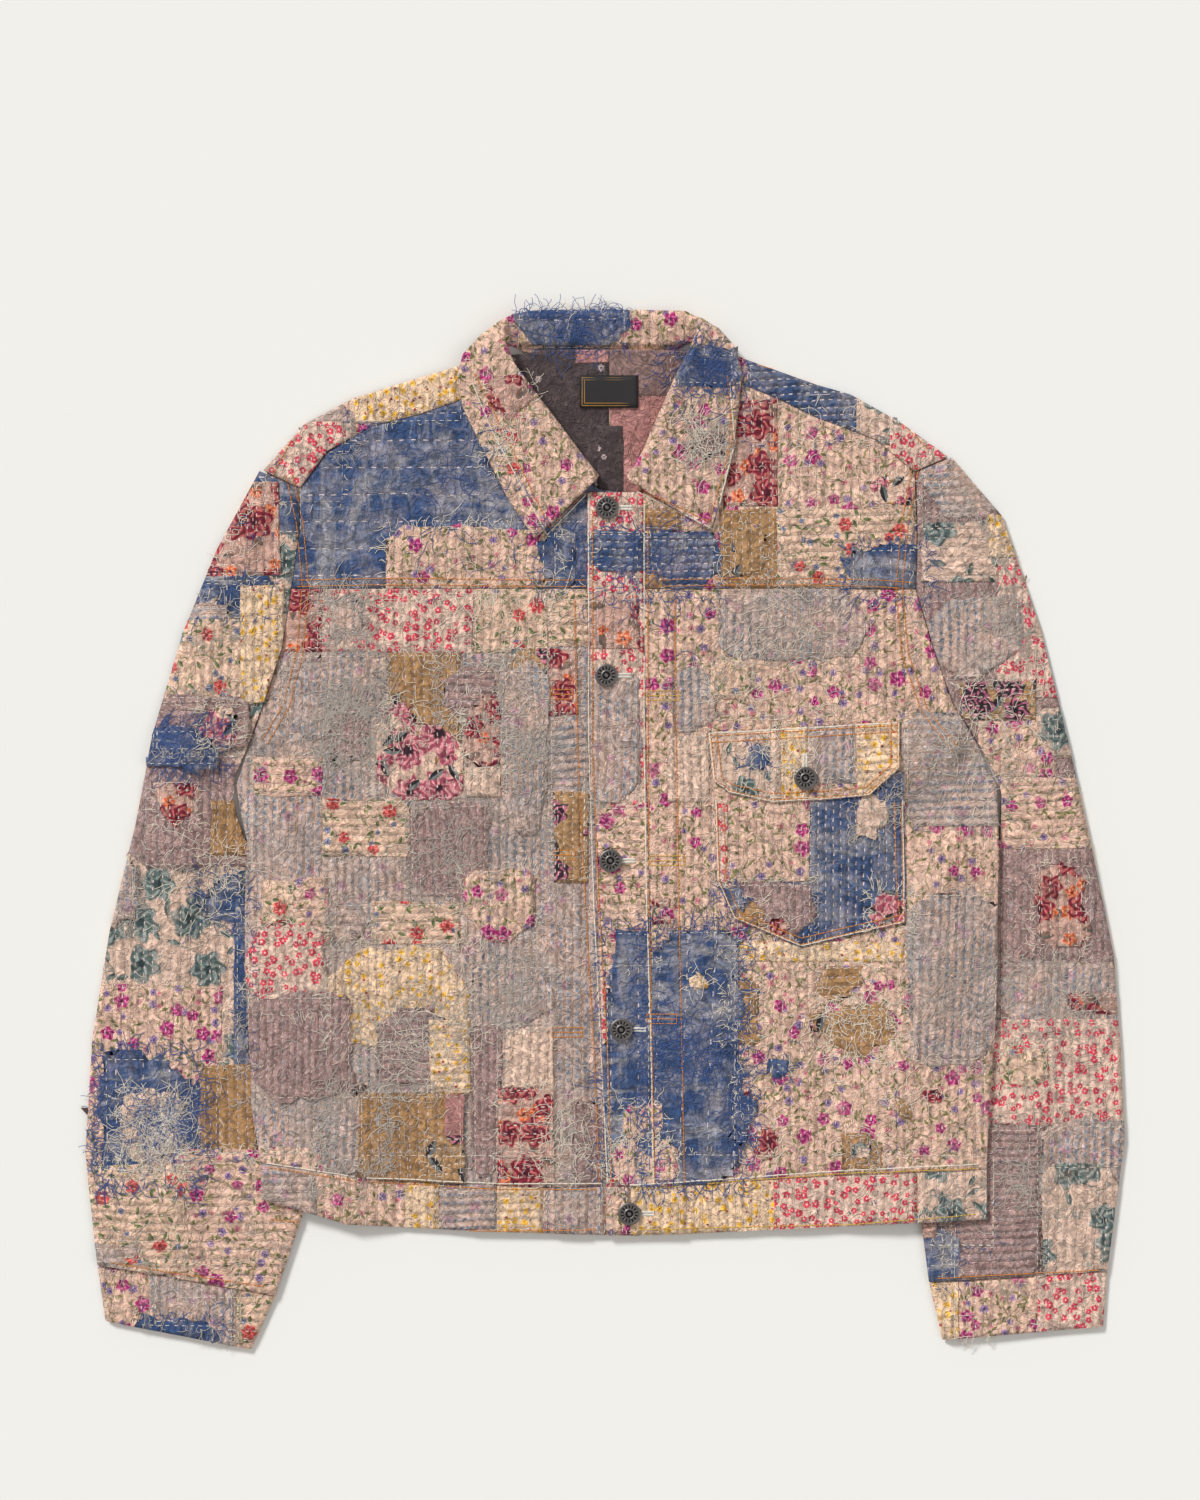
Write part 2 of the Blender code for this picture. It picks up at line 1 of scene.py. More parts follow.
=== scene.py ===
"""Looks of the patched boro jacket that lies flat on a pale floor.

Each cut piece is a fine copy of its solid, with the creases of worn cloth in it. Patches of
printed cotton, gauze, denim and twill are draped on the pieces, with frayed edges, hand
running stitches, topstitching, buttonholes and shank buttons. Tables are in millimetres.
"""
from math import atan2, cos, hypot, pi, radians, sin, tau
from random import Random

import bmesh
import bpy
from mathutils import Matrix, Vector, noise
from mathutils.bvhtree import BVHTree


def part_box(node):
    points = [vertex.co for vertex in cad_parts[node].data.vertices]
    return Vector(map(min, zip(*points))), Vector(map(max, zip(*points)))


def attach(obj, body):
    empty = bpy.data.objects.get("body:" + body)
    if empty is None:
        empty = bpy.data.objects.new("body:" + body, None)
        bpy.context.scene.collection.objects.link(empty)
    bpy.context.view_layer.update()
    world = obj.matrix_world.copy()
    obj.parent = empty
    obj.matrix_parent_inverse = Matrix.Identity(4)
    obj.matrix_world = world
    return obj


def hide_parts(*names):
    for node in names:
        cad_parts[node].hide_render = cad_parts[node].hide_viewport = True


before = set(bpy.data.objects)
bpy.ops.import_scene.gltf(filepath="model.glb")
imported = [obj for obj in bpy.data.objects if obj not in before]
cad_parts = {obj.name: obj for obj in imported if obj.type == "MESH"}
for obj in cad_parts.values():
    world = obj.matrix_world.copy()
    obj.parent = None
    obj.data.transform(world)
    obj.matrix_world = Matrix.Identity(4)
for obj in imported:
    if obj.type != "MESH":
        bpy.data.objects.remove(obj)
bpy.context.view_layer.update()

MM = 0.001

# Cloth sizes, mm
CLOTH_CELL = 7.0        # mesh cell of a cut piece
LABEL_CELL = 4.0        # and of the neck label
FIRST_LIFT = 0.45       # a patch's height over its panel
NEXT_LIFT = 0.3         # and over the patch that it overlaps
UNDER_LIFT = 0.3        # a patch on the underside, which lies on the floor
RIM_TUCK = 0.12         # a patch's rim ends this far inside its panel
TOUCH = 2               # patches that overlap by less lie side by side
SPARE = 9               # cloth kept round a patch until its edges are cut
FRAY_STEP = 1.7         # spacing of the points along a frayed edge


# ---------------------------------------------------------------- creases

# Soft folds: from (x0, y0) to (x1, y1), half width and height. Below 0 is a trough.
CREASES = (
    # x0, y0, x1, y1, width, height
    (-258, 95, -196, 20, 13, 3.2), (-262, 62, -206, -10, 10, -2.4), (-250, 20, -214, -72, 14, 3.0),
    (-236, -60, -212, -190, 18, 2.0), (-196, 60, -150, -40, 22, 1.4), (-150, -90, -120, -230, 26, 1.5),
    (-190, -130, -170, -240, 16, -1.2), (-96, 60, -84, -120, 20, 1.1), (-60, -110, -52, -255, 12, 1.4),
    (276, 92, 214, 36, 13, 3.0), (280, 58, 226, 0, 10, -2.2), (268, 22, 236, -70, 14, 2.6),
    (250, -70, 232, -200, 18, 2.0), (196, -110, 210, -236, 22, 1.5), (130, -110, 120, -250, 24, 1.3),
    (72, -60, 66, -240, 12, 1.8), (60, 60, 62, -60, 9, 1.2), (96, 160, 88, 80, 14, 1.0),
    (-210, 250, -150, 190, 16, 1.8), (-150, 292, -110, 200, 18, 1.3), (206, 250, 150, 200, 16, 1.7),
    (150, 292, 118, 210, 18, 1.2), (-206, 168, -178, 96, 16, 1.6), (204, 150, 180, 96, 14, 1.4),
    # sharp folds under the left arm and over the pleats
    (-238, 34, -232, -10, 5, 1.8), (-232, -10, -223, -84, 5, 2.0), (-223, -84, -184, -166, 6, 1.8),
    (-201, 18, -203, -92, 4, 1.4), (-184, -166, -150, -210, 8, 1.2), (-98, 96, -92, 10, 6, 1.2),
    (-60, 120, -56, -40, 5, 1.1), (-44, -60, -40, -240, 5, 1.2), (86, -110, 78, -250, 6, 1.5),
    (64, -90, 58, -240, 5, 1.3), (244, -20, 240, -150, 6, 1.3), (140, -130, 150, -250, 7, 1.1),
    (262, 86, 250, 20, 5, 1.6), (-120, 330, -150, 230, 7, 1.0), (-90, 300, -104, 200, 6, 1.0),
    (160, 320, 190, 230, 7, 1.0),
    # left sleeve
    (-262, 236, -300, 130, 9, 2.4), (-300, 130, -318, 20, 11, 2.6), (-318, 20, -322, -120, 13, 2.2),
    (-322, -120, -306, -300, 12, 2.4), (-348, -40, -352, -180, 14, -1.6), (-282, -40, -292, -160, 10, -1.8),
    (-374, -180, -336, -214, 10, 1.6), (-270, -200, -236, -262, 12, 2.2), (-360, -250, -330, -312, 12, 1.4),
    (-334, 62, -290, 44, 8, 1.5), (-352, -6, -300, -30, 9, 1.5),
    # right sleeve
    (262, 246, 287, 176, 8, 2.6), (287, 176, 317, 92, 9, 2.8), (317, 92, 353, -1, 9, 2.4),
    (353, -1, 372, -120, 10, 1.8), (300, 20, 318, -140, 13, 2.0), (318, -140, 300, -310, 14, 2.2),
    (346, -130, 350, -290, 14, -1.4), (262, -200, 250, -300, 12, 2.0), (376, -110, 330, -130, 9, 1.5),
    (336, 66, 300, 42, 8, 1.5), (356, -20, 312, -44, 9, 1.4),
)
SWELL = ((95.0, 1.5), (38.0, 0.8), (17.0, 0.3))   # wavelength and height of the uneven lie
CREASE_GAIN = 1.6
STILL, FREE = 1.5, 6.0  # creases set in between these heights over the floor, mm
SINK = 0.35             # the deepest trough, as a share of the height over STILL


def crease_height(x, y):
    """Height in mm of the creases and of the uneven lie of the cloth at (x, y)."""
    total = 0.0
    for x0, y0, x1, y1, width, height in CREASES:
        dx, dy = x1 - x0, y1 - y0
        reach = 2.2 * width
        if not (min(x0, x1) - reach < x < max(x0, x1) + reach and min(y0, y1) - reach < y < max(y0, y1) + reach):
            continue
        length = hypot(dx, dy)
        along = ((x - x0) * dx + (y - y0) * dy) / length ** 2
        bend = 0.25 * width * sin(along * pi * 1.5)
        across = ((x - x0) * dy - (y - y0) * dx) / length + bend
        ends = max(0.0, min(1.0, 3.5 * (along + 0.12))) * max(0.0, min(1.0, 3.5 * (1.12 - along)))
        total += height * ends * max(0.0, 1.0 - (across / reach) ** 2) ** 3
    for index, (wave, height) in enumerate(SWELL):
        total += height * noise.noise(Vector((x / wave, y / wave, 7.3 * index)))
    return total


def smooth_step(low, high, value):
    share = max(0.0, min(1.0, (value - low) / (high - low)))
    return share * share * (3 - 2 * share)


def lie_of_cloth(point):
    """Moves a point of the cloth, in metres, with the creases. The layer on the floor stays flat."""
    x, y, z = point.x / MM, point.y / MM, point.z / MM
    lift = CREASE_GAIN * crease_height(x, y) * smooth_step(STILL, FREE, z)
    return Vector((point.x, point.y, (z + max(lift, -SINK * max(0.0, z - STILL))) * MM))


# ---------------------------------------------------------------- materials

def linear(hex_colour):
    """Linear RGBA of an sRGB hex colour."""
    values = [int(hex_colour[i:i + 2], 16) / 255 for i in (1, 3, 5)]
    return (*(v / 12.92 if v <= 0.04045 else ((v + 0.055) / 1.055) ** 2.4 for v in values), 1.0)


def add_node(material, kind, *values, named=(), **settings):
    """A node with its settings. A value is a number, a hex colour, a node or an output, by input order or name."""
    tree = material.node_tree
    node = tree.nodes.new("ShaderNode" + kind)
    for name, value in settings.items():
        setattr(node, name, value)
    for place, value in [*enumerate(values), *named]:
        if value is None:
            continue
        if isinstance(value, str):
            value = linear(value)
        if isinstance(value, bpy.types.Node):
            value = value.outputs[0]
        if isinstance(value, bpy.types.NodeSocket):
            tree.links.new(value, node.inputs[place])
        else:
            node.inputs[place].default_value = value
    return node


def calc(material, operation, *values):
    return add_node(material, "Math", *values, operation=operation)


def calc_vector(material, operation, *values):
    return add_node(material, "VectorMath", *values, operation=operation)


def ramp(material, *values):
    """A value mapped from one range to another: value, from low, from high, to low, to high."""
    return add_node(material, "MapRange", *values)


def mix(material, share, under, over, blend="MIX"):
    return add_node(material, "MixRGB", share, under, over, blend_type=blend)


def cloud(material, place, scale, detail, roughness=0.5, distortion=0.0, flat=True):
    """Noise, by default in plan."""
    return add_node(
        material, "TexNoise", place, noise_dimensions="2D" if flat else "3D",
        named=(("Scale", scale), ("Detail", detail), ("Roughness", roughness), ("Distortion", distortion)))


def new_material(name):
    material = bpy.data.materials.new(name)
    material.use_nodes = True
    return material


def dress(material, colour, relief, strength, depth, rough, **settings):
    """Gives the material its colour, its relief (depth in metres) and its other settings."""
    shader = material.node_tree.nodes["Principled BSDF"]
    bump = add_node(material, "Bump", named=(("Strength", strength), ("Distance", depth), ("Height", relief)))
    material.node_tree.links.new(colour.outputs[0], shader.inputs["Base Color"])
    material.node_tree.links.new(bump.outputs[0], shader.inputs["Normal"])
    shader.inputs["Roughness"].default_value = rough
    for name, value in settings.items():
        shader.inputs[name.replace("_", " ")].default_value = value
    return material


def net_place(cloth, plan, cell, start):
    """The place on the cloth in cells of a net."""
    return calc_vector(cloth, "MULTIPLY_ADD", plan, (1 / (cell * MM),) * 3, start)


def cells(cloth, place, randomness, **settings):
    return add_node(
        cloth, "TexVoronoi", place, named=(("Scale", 1.0), ("Randomness", randomness)), voronoi_dimensions="2D",
        **settings)


def scatter(cloth, place, randomness):
    """A loose net with a mark in each cell: the net, the place seen from the mark, and the cell's three chances."""
    net = cells(cloth, place, randomness)
    local = calc_vector(cloth, "SUBTRACT", place, net.outputs["Position"])
    return net, local, add_node(cloth, "SeparateXYZ", net.outputs["Color"])


def print_over(cloth, colour, shape, chance, share, ink):
    """The ink in its shape over the colour so far, in a share of the cells."""
    grows = calc(cloth, "LESS_THAN", chance.outputs[2], share)
    mask = calc(cloth, "MULTIPLY", shape, grows)
    return mix(cloth, mask, colour, ink)


def flower_print(cloth, plan, colour, cell, radius, petals, rings, share, hues, seed):
    """Prints one flower in some cells of a loose net, over the colour so far.

    cell and radius are in mm, share is the part of the cells that flower, hues are the petals'
    two colours and the heart's.
    """
    place = net_place(cloth, plan, cell, (seed, 0.37 * seed, 0))
    wobble = cloud(cloth, place, 1.7 * cell / radius, 1.0)
    waver = (0.26 * radius / cell,) * 3
    shift = calc_vector(cloth, "MULTIPLY_ADD", wobble.outputs["Color"], waver, place)
    net, local, chance = scatter(cloth, shift, 0.85)
    parts = add_node(cloth, "SeparateXYZ", local)
    angle = calc(cloth, "ARCTAN2", parts.outputs[1], parts.outputs[0])
    turned = calc(cloth, "MULTIPLY_ADD", chance.outputs[0], tau, angle)
    lobes = calc(cloth, "MULTIPLY", turned, petals)
    wave = calc(cloth, "COSINE", lobes)
    reach = radius / cell
    size = calc(cloth, "MULTIPLY_ADD", chance.outputs[1], 0.45 * reach, 0.72 * reach)
    lobe = calc(cloth, "MULTIPLY_ADD", wave, 0.13, 0.9)
    edge = calc(cloth, "MULTIPLY", size, lobe)
    inside = calc(cloth, "DIVIDE", net, edge)
    shape = ramp(cloth, inside, 0.9, 1.02, 1.0, 0.0)
    swirl = calc(cloth, "MULTIPLY_ADD", inside, rings * tau, lobes)
    fold = calc(cloth, "SINE", swirl)
    light = ramp(cloth, fold, -0.1, 0.35, 0.0, 1.0)
    petal = mix(cloth, light, hues[0], hues[1])
    heart = ramp(cloth, inside, 0.2, 0.3, 1.0, 0.0)
    bloom = mix(cloth, heart, petal, hues[2])
    return print_over(cloth, colour, shape, chance, share, bloom)


def leaf_print(cloth, plan, colour, cell, length, share, hues, seed):
    """Prints a pointed leaf with a darker side in some cells of a loose net."""
    place = net_place(cloth, plan, cell, (seed, 0.61 * seed, 0))
    _, local, chance = scatter(cloth, place, 1.0)
    angle = calc(cloth, "MULTIPLY", chance.outputs[0], tau)
    turned = add_node(cloth, "VectorRotate", local, named=(("Angle", angle),), rotation_type="Z_AXIS")
    parts = add_node(cloth, "SeparateXYZ", turned)
    half = 0.5 * length / cell
    along = calc(cloth, "MULTIPLY", parts.outputs[0], 1 / half)
    squared = calc(cloth, "POWER", along, 2.0)
    width = calc(cloth, "MULTIPLY_ADD", squared, -0.4 * half, 0.4 * half)
    aside = calc(cloth, "ABSOLUTE", parts.outputs[1])
    depth = calc(cloth, "SUBTRACT", width, aside)
    shape = ramp(cloth, depth, 0.0, 0.05 * half, 0.0, 1.0)
    side = calc(cloth, "GREATER_THAN", parts.outputs[1], 0.0)
    leaf = mix(cloth, side, hues[0], hues[1])
    return print_over(cloth, colour, shape, chance, share, leaf)


def stem_print(cloth, plan, colour, cell, width, hue, seed):
    """Prints thin broken stems along the edges of a loose net."""
    place = net_place(cloth, plan, cell, (seed, 0.83 * seed, 0))
    wobble = cloud(cloth, place, 2.3, 1.0)
    shift = calc_vector(cloth, "MULTIPLY_ADD", wobble.outputs["Color"], (0.6, 0.6, 0.0), place)
    net = cells(cloth, shift, 1.0, feature="DISTANCE_TO_EDGE")
    line = ramp(cloth, net, 0.5 * width / cell, width / cell, 1.0, 0.0)
    broken = ramp(cloth, wobble, 0.42, 0.5, 0.0, 1.0)
    mask = calc(cloth, "MULTIPLY", line, broken)
    return mix(cloth, mask, colour, hue)


PRINTS = {"flower": flower_print, "leaf": leaf_print, "stem": stem_print}


def worn_cloth(name, ground, faded, prints=(), rows=None, row_hue="#F0E8DA", stripes=None, streak=0.0, mottle=0.35):
    """Old hand-quilted cloth: washed-out ground, print, rows of running stitches and their puckers. Painted shade and
    highlight follow the puckers and crinkles.

    faded is the hue of worn and washed areas, mottle how much of it shows. rows is (pitch, dash)
    in mm. stripes is (pitch, hue, strength): broken woven or darned lines along the rows. streak
    is how strongly the cloth is rubbed pale in long streaks along both threads.
    """
    cloth = new_material(name)
    plan = add_node(cloth, "UVMap", uv_map="cloth").outputs[0]
    wide = cloud(cloth, plan, 38.0, 5.0, 0.62)
    fine = cloud(cloth, plan, 260.0, 4.0, 0.7)
    colour = add_node(cloth, "RGB")
    colour.outputs[0].default_value = linear(ground)
    for kind, *values in prints:
        colour = PRINTS[kind](cloth, plan, colour, *values)
    if stripes:
        pitch, hue, strength = stripes
        axes = add_node(cloth, "SeparateXYZ", plan)
        bent = calc(cloth, "MULTIPLY_ADD", wide, 0.006, axes.outputs[0])
        turn = calc(cloth, "MULTIPLY", bent, tau / (pitch * MM))
        line = calc(cloth, "SINE", turn)
        torn = cloud(cloth, plan, 420.0, 3.0, 0.8)
        ragged = calc(cloth, "MULTIPLY_ADD", torn, 2.6, line)
        stripe = ramp(cloth, ragged, 1.2, 2.1, 0.0, strength)
        region = cloud(cloth, plan, 24.0, 4.0)
        present = ramp(cloth, region, 0.4, 0.58, 0.12, 1.0)
        line_number = calc(cloth, "MULTIPLY", bent, 1 / (pitch * MM))
        whole = calc(cloth, "FLOOR", line_number)
        offset = calc(cloth, "MULTIPLY", whole, 2.4)
        dots = calc(cloth, "MULTIPLY_ADD", axes.outputs[1], tau / (0.9 * pitch * MM), offset)
        dot = calc(cloth, "SINE", dots)
        spaced = ramp(cloth, dot, -0.7, 0.3, 0.3, 1.0)
        dotted = calc(cloth, "MULTIPLY", stripe, spaced)
        kept = calc(cloth, "MULTIPLY", dotted, present)
        colour = mix(cloth, kept, colour, hue)
        fluff = ramp(cloth, torn, 0.55, 0.64, 0.0, 0.65)
        colour = mix(cloth, fluff, colour, row_hue)
    for across, along, share in ((16.0, 60.0, 1.0), (52.0, 17.0, 0.7)) if streak else ():
        stretched = calc_vector(cloth, "MULTIPLY", plan, (across, along, 1.0))
        rubbed = cloud(cloth, stretched, 1.0, 5.0, 0.7, 0.9, flat=False)
        rub = ramp(cloth, rubbed, 0.49, 0.68, 0.0, share * streak)
        colour = mix(cloth, rub, colour, "#A8B1B3")
    patchy = ramp(cloth, wide, 0.62 - 0.35 * mottle, 0.78, 0.0, 0.25 + 0.7 * mottle)
    colour = mix(cloth, patchy, colour, faded)
    grain = ramp(cloth, fine, 0.34, 0.7, 0.8, 1.17)
    colour = mix(cloth, 1.0, colour, grain, "MULTIPLY")

    pucker = cloud(cloth, plan, 150.0, 3.0, 0.55, 0.8)
    relief = calc(cloth, "MULTIPLY_ADD", fine, 0.4, pucker)
    wander = cloud(cloth, plan, 62.0, 2.5, 0.5, 1.6)
    near_fold = calc(cloth, "SUBTRACT", wander, 0.5)
    from_fold = calc(cloth, "ABSOLUTE", near_fold)
    crinkle = ramp(cloth, from_fold, 0.0, 0.05, 1.0, 0.0)
    relief = calc(cloth, "MULTIPLY_ADD", crinkle, 0.4, relief)
    if rows:
        pitch, dash = rows
        axes = add_node(cloth, "SeparateXYZ", plan)
        drift = calc(cloth, "MULTIPLY_ADD", wide, 0.004, axes.outputs[0])
        row = calc(cloth, "MULTIPLY", drift, 1 / (pitch * MM))
        number = calc(cloth, "FLOOR", row)
        near = calc(cloth, "FLOORED_MODULO", row, 1.0)
        aside = calc(cloth, "SUBTRACT", near, 0.5)
        off = calc(cloth, "ABSOLUTE", aside)
        start = calc(cloth, "MULTIPLY", number, 0.37)
        run = calc(cloth, "MULTIPLY_ADD", axes.outputs[1], 1 / (2.1 * dash * MM), start)
        beat = calc(cloth, "FLOORED_MODULO", run, 1.0)
        on = ramp(cloth, beat, 0.42, 0.5, 1.0, 0.0)
        thin = ramp(cloth, off, 0.35 / pitch, 0.6 / pitch, 1.0, 0.0)
        stitch = calc(cloth, "MULTIPLY", on, thin)
        shown = calc(cloth, "MULTIPLY", stitch, 0.8)
        colour = mix(cloth, shown, colour, row_hue)
        valley = ramp(cloth, off, 0.0, 0.42, 0.0, 1.0)
        relief = calc(cloth, "MULTIPLY_ADD", valley, 0.55, relief)
        relief = calc(cloth, "MULTIPLY_ADD", stitch, -0.5, relief)
    # Painted shade and highlight: the pucker noise that makes the bump also darkens the hollows and lightens the crests
    high = ramp(cloth, pucker, 0.35, 0.65, 0.64, 1.16)
    colour = mix(cloth, 1.0, colour, high, "MULTIPLY")
    colour = mix(cloth, 1.0, colour, (1.2, 1.0, 0.985, 1.0), "MULTIPLY")
    # Painted highlight on the crinkle lines, with slight painted shade between them
    crinkle_highlight = ramp(cloth, from_fold, 0.0, 0.07, 1.2, 0.96)
    colour = mix(cloth, 1.0, colour, crinkle_highlight, "MULTIPLY")
    return dress(
        cloth, colour, relief, 1.0, 0.0021, 0.9, Sheen_Weight=0.15, Sheen_Roughness=0.6, Specular_IOR_Level=0.2)


def plain_finish(name, hue, rough, grain=900.0):
    """A thread or satin finish with a fine grain in its colour and relief."""
    finish = new_material(name)
    place = add_node(finish, "TexCoord").outputs["Object"]
    speck = cloud(finish, place, grain, 3.0, flat=False)
    tone = ramp(finish, speck, 0.3, 0.7, 0.8, 1.15)
    colour = mix(finish, 1.0, hue, tone, "MULTIPLY")
    return dress(finish, colour, speck, 0.6, 0.0001, rough)


CLOTHS = {
    # Cream cotton with magenta roses, violets and thin olive stems: soft, low contrast from washing.
    "rose": worn_cloth("rose_print_cotton", "#E0C7B0", "#E6D3BF", (
        ("stem", 15.0, 1.0, "#8F8F62", 1.0), ("leaf", 7.5, 5.4, 0.5, ("#858B55", "#687546"), 2.0),
        ("flower", 14.0, 3.2, 5, 0.4, 0.42, ("#7D6C99", "#A08FB4", "#54427A"), 3.0),
        ("flower", 12.0, 2.4, 4, 0.3, 0.35, ("#C77C88", "#D9A3A5", "#A8505E"), 6.0),
        ("flower", 21.0, 5.8, 5, 1.2, 0.52, ("#A5266F", "#D277A8", "#74205A"), 4.0)), rows=(6.5, 3.0)),
    # Cream cotton with small open coral flowers.
    "coral": worn_cloth("coral_ditsy_cotton", "#E2D0BC", "#D9CFC2", (
        ("leaf", 8.0, 3.4, 0.35, ("#8F9A90", "#7C877E"), 1.5),
        ("flower", 7.2, 2.9, 5, 0.2, 0.9, ("#D63A56", "#DF5D70", "#E9CDBD"), 2.5)), rows=(6.0, 2.6), mottle=0.25),
    # Pale yellow cotton with small yellow flowers and grey-violet leaves.
    "yellow": worn_cloth("yellow_ditsy_cotton", "#EDDAB4", "#E9DCC4", (
        ("leaf", 5.6, 3.0, 0.6, ("#A79A8E", "#9288A0"), 1.2),
        ("flower", 9.0, 1.2, 4, 0.2, 0.6, ("#A8524A", "#B8645C", "#8F3C3C"), 5.0),
        ("flower", 8.0, 2.5, 5, 0.3, 0.75, ("#E5BA35", "#EDCB5F", "#C7922A"), 2.2)), rows=(6.0, 2.6), mottle=0.2),
    # Indigo denim, rubbed pale in clouds, with white running stitches.
    "denim": worn_cloth("faded_indigo_denim", "#34527F", "#ADAEB1", (), rows=(20.0, 4.2), row_hue="#E0E2E2",
                        streak=0.95, mottle=0.4),
    # The same denim quilted closely with white thread.
    "sashiko": worn_cloth("close_stitched_denim", "#35537F", "#B1AEB0", (), rows=(5.6, 3.0), row_hue="#E2E0DC",
                          streak=0.7, mottle=0.35),
    # Khaki twill with lilac-white running stitches.
    "khaki": worn_cloth("khaki_twill", "#AA8C5F", "#B79C74", (), rows=(7.0, 2.6), row_hue="#DAD4DC", mottle=0.25),
    # Mauve-taupe cotton under threadbare gauze.
    "mauve": worn_cloth("mauve_cotton", "#9E8883", "#B7A59B", (), rows=(5.5, 2.4), row_hue="#CFC6C0",
                        stripes=(10.0, "#8E9499", 0.5), mottle=0.45),
    # Grey-blue gauze darned on beige, in broken upright lines.
    "gauze": worn_cloth("darned_grey_gauze", "#CBB7A5", "#95A3A6", (
        ("leaf", 9.0, 4.0, 0.3, ("#A9A695", "#9C9B8C"), 2.0),
        ("flower", 17.0, 4.0, 5, 0.6, 0.4, ("#C493A2", "#C9A7AC", "#A98495"), 3.0),), rows=(6.0, 2.6),
        row_hue="#E2DACE", stripes=(6.4, "#6B859C", 1.0), mottle=0.7),
    # Cream cotton with large rose-pink peonies and smoky leaves.
    "peony": worn_cloth("pink_peony_cotton", "#E2CDB6", "#E0CFBF", (
        ("leaf", 12.0, 9.0, 0.4, ("#B9985F", "#8A7B4A"), 5.1),
        ("flower", 17.0, 8.0, 6, 1.4, 0.6, ("#A9566A", "#D9929C", "#33202E"), 8.7),
        ("flower", 28.0, 16.5, 7, 2.0, 0.95, ("#A65468", "#DFA0A6", "#33192B"), 2.7),
        ("leaf", 17.0, 15.0, 0.75, ("#7A8785", "#232228"), 1.7)), rows=(6.5, 2.6), mottle=0.12),
    # Dark smoky peonies on khaki.
    "dark": worn_cloth("dark_peony_khaki", "#B09468", "#B7A07C", (
        ("leaf", 17.0, 17.0, 0.7, ("#6F7A7C", "#2B2A30"), 2.2),
        ("flower", 24.0, 10.5, 6, 1.7, 0.7, ("#3A2734", "#C07793", "#20181F"), 3.1)), rows=(6.5, 2.6), mottle=0.12),
    # Cream cotton with washed-out teal roses.
    "teal": worn_cloth("teal_rose_cotton", "#DBC9B4", "#D3C6B4", (
        ("leaf", 15.0, 11.0, 0.55, ("#7F938C", "#4C625F"), 1.3), ("stem", 24.0, 0.8, "#8E9A90", 2.0),
        ("flower", 33.0, 14.5, 6, 1.7, 0.85, ("#56716F", "#93A5A0", "#33494B"), 4.4)), rows=(7.0, 2.6), mottle=0.3),
    # Cream cotton with coral roses and green leaves.
    "garden": worn_cloth("coral_rose_cotton", "#DFC9AF", "#E2D0BB", (
        ("stem", 15.0, 0.8, "#8B9468", 3.0), ("leaf", 9.0, 7.0, 0.6, ("#7E8E5E", "#5E7448"), 1.1),
        ("flower", 14.0, 2.8, 5, 0.3, 0.4, ("#6E7C99", "#8F9BB2", "#4C5878"), 7.0),
        ("flower", 21.0, 5.6, 6, 1.3, 0.55, ("#C5494C", "#DD8377", "#99322F"), 2.9)), rows=(6.5, 2.6), mottle=0.2),
    # Mauve-pink cotton with big burgundy and orange blooms.
    "wine": worn_cloth("wine_bloom_cotton", "#C9AC9C", "#D8C3B2", (
        ("leaf", 18.0, 16.0, 0.6, ("#8C7463", "#6F6A62"), 1.9),
        ("flower", 17.0, 6.0, 5, 1.1, 0.45, ("#D96C3E", "#EDA57C", "#8B2C2A"), 6.3),
        ("flower", 26.0, 13.0, 6, 2.0, 0.8, ("#7D1C36", "#C1706A", "#57102A"), 3.3)), rows=(6.5, 2.6), mottle=0.15),
    # Lining: dark washed cotton with tiny pale ring flowers.
    "lining": worn_cloth("charcoal_lining_cotton", "#4C4546", "#6A6162", (
        ("flower", 26.0, 2.6, 6, 0.0, 0.5, ("#B9B2B0", "#B9B2B0", "#4C4546"), 2.0),), mottle=0.4),
    "lining_pink": worn_cloth("pink_lining_cotton", "#B48883", "#C9A59C", (), mottle=0.4),
    "lining_taupe": worn_cloth("taupe_lining_cotton", "#8B7873", "#A08D86", (
        ("flower", 26.0, 2.2, 6, 0.0, 0.45, ("#CDBFB8", "#CDBFB8", "#8B7873"), 4.0),), mottle=0.3),
    # Fine cream cotton that shows at turned seams.
    "cream": worn_cloth("cream_cotton", "#E4D2BC", "#D8C8B4", (), rows=(6.5, 2.6), row_hue="#B9ADA0", mottle=0.3),
}
THREADS = {
    "cream": plain_finish("cream_cotton_thread", "#EFE4D2", 0.9),
    "grey": plain_finish("grey_cotton_thread", "#C4BAB0", 0.9),
    "blue": plain_finish("indigo_thread", "#4A6298", 0.9),
    "orange": plain_finish("orange_topstitch_thread", "#D6873A", 0.7),
    "yellow": plain_finish("yellow_topstitch_thread", "#D9AE4A", 0.7),
    "white": plain_finish("white_buttonhole_thread", "#ECE7DC", 0.8),
}


# ---------------------------------------------------------------- cut pieces

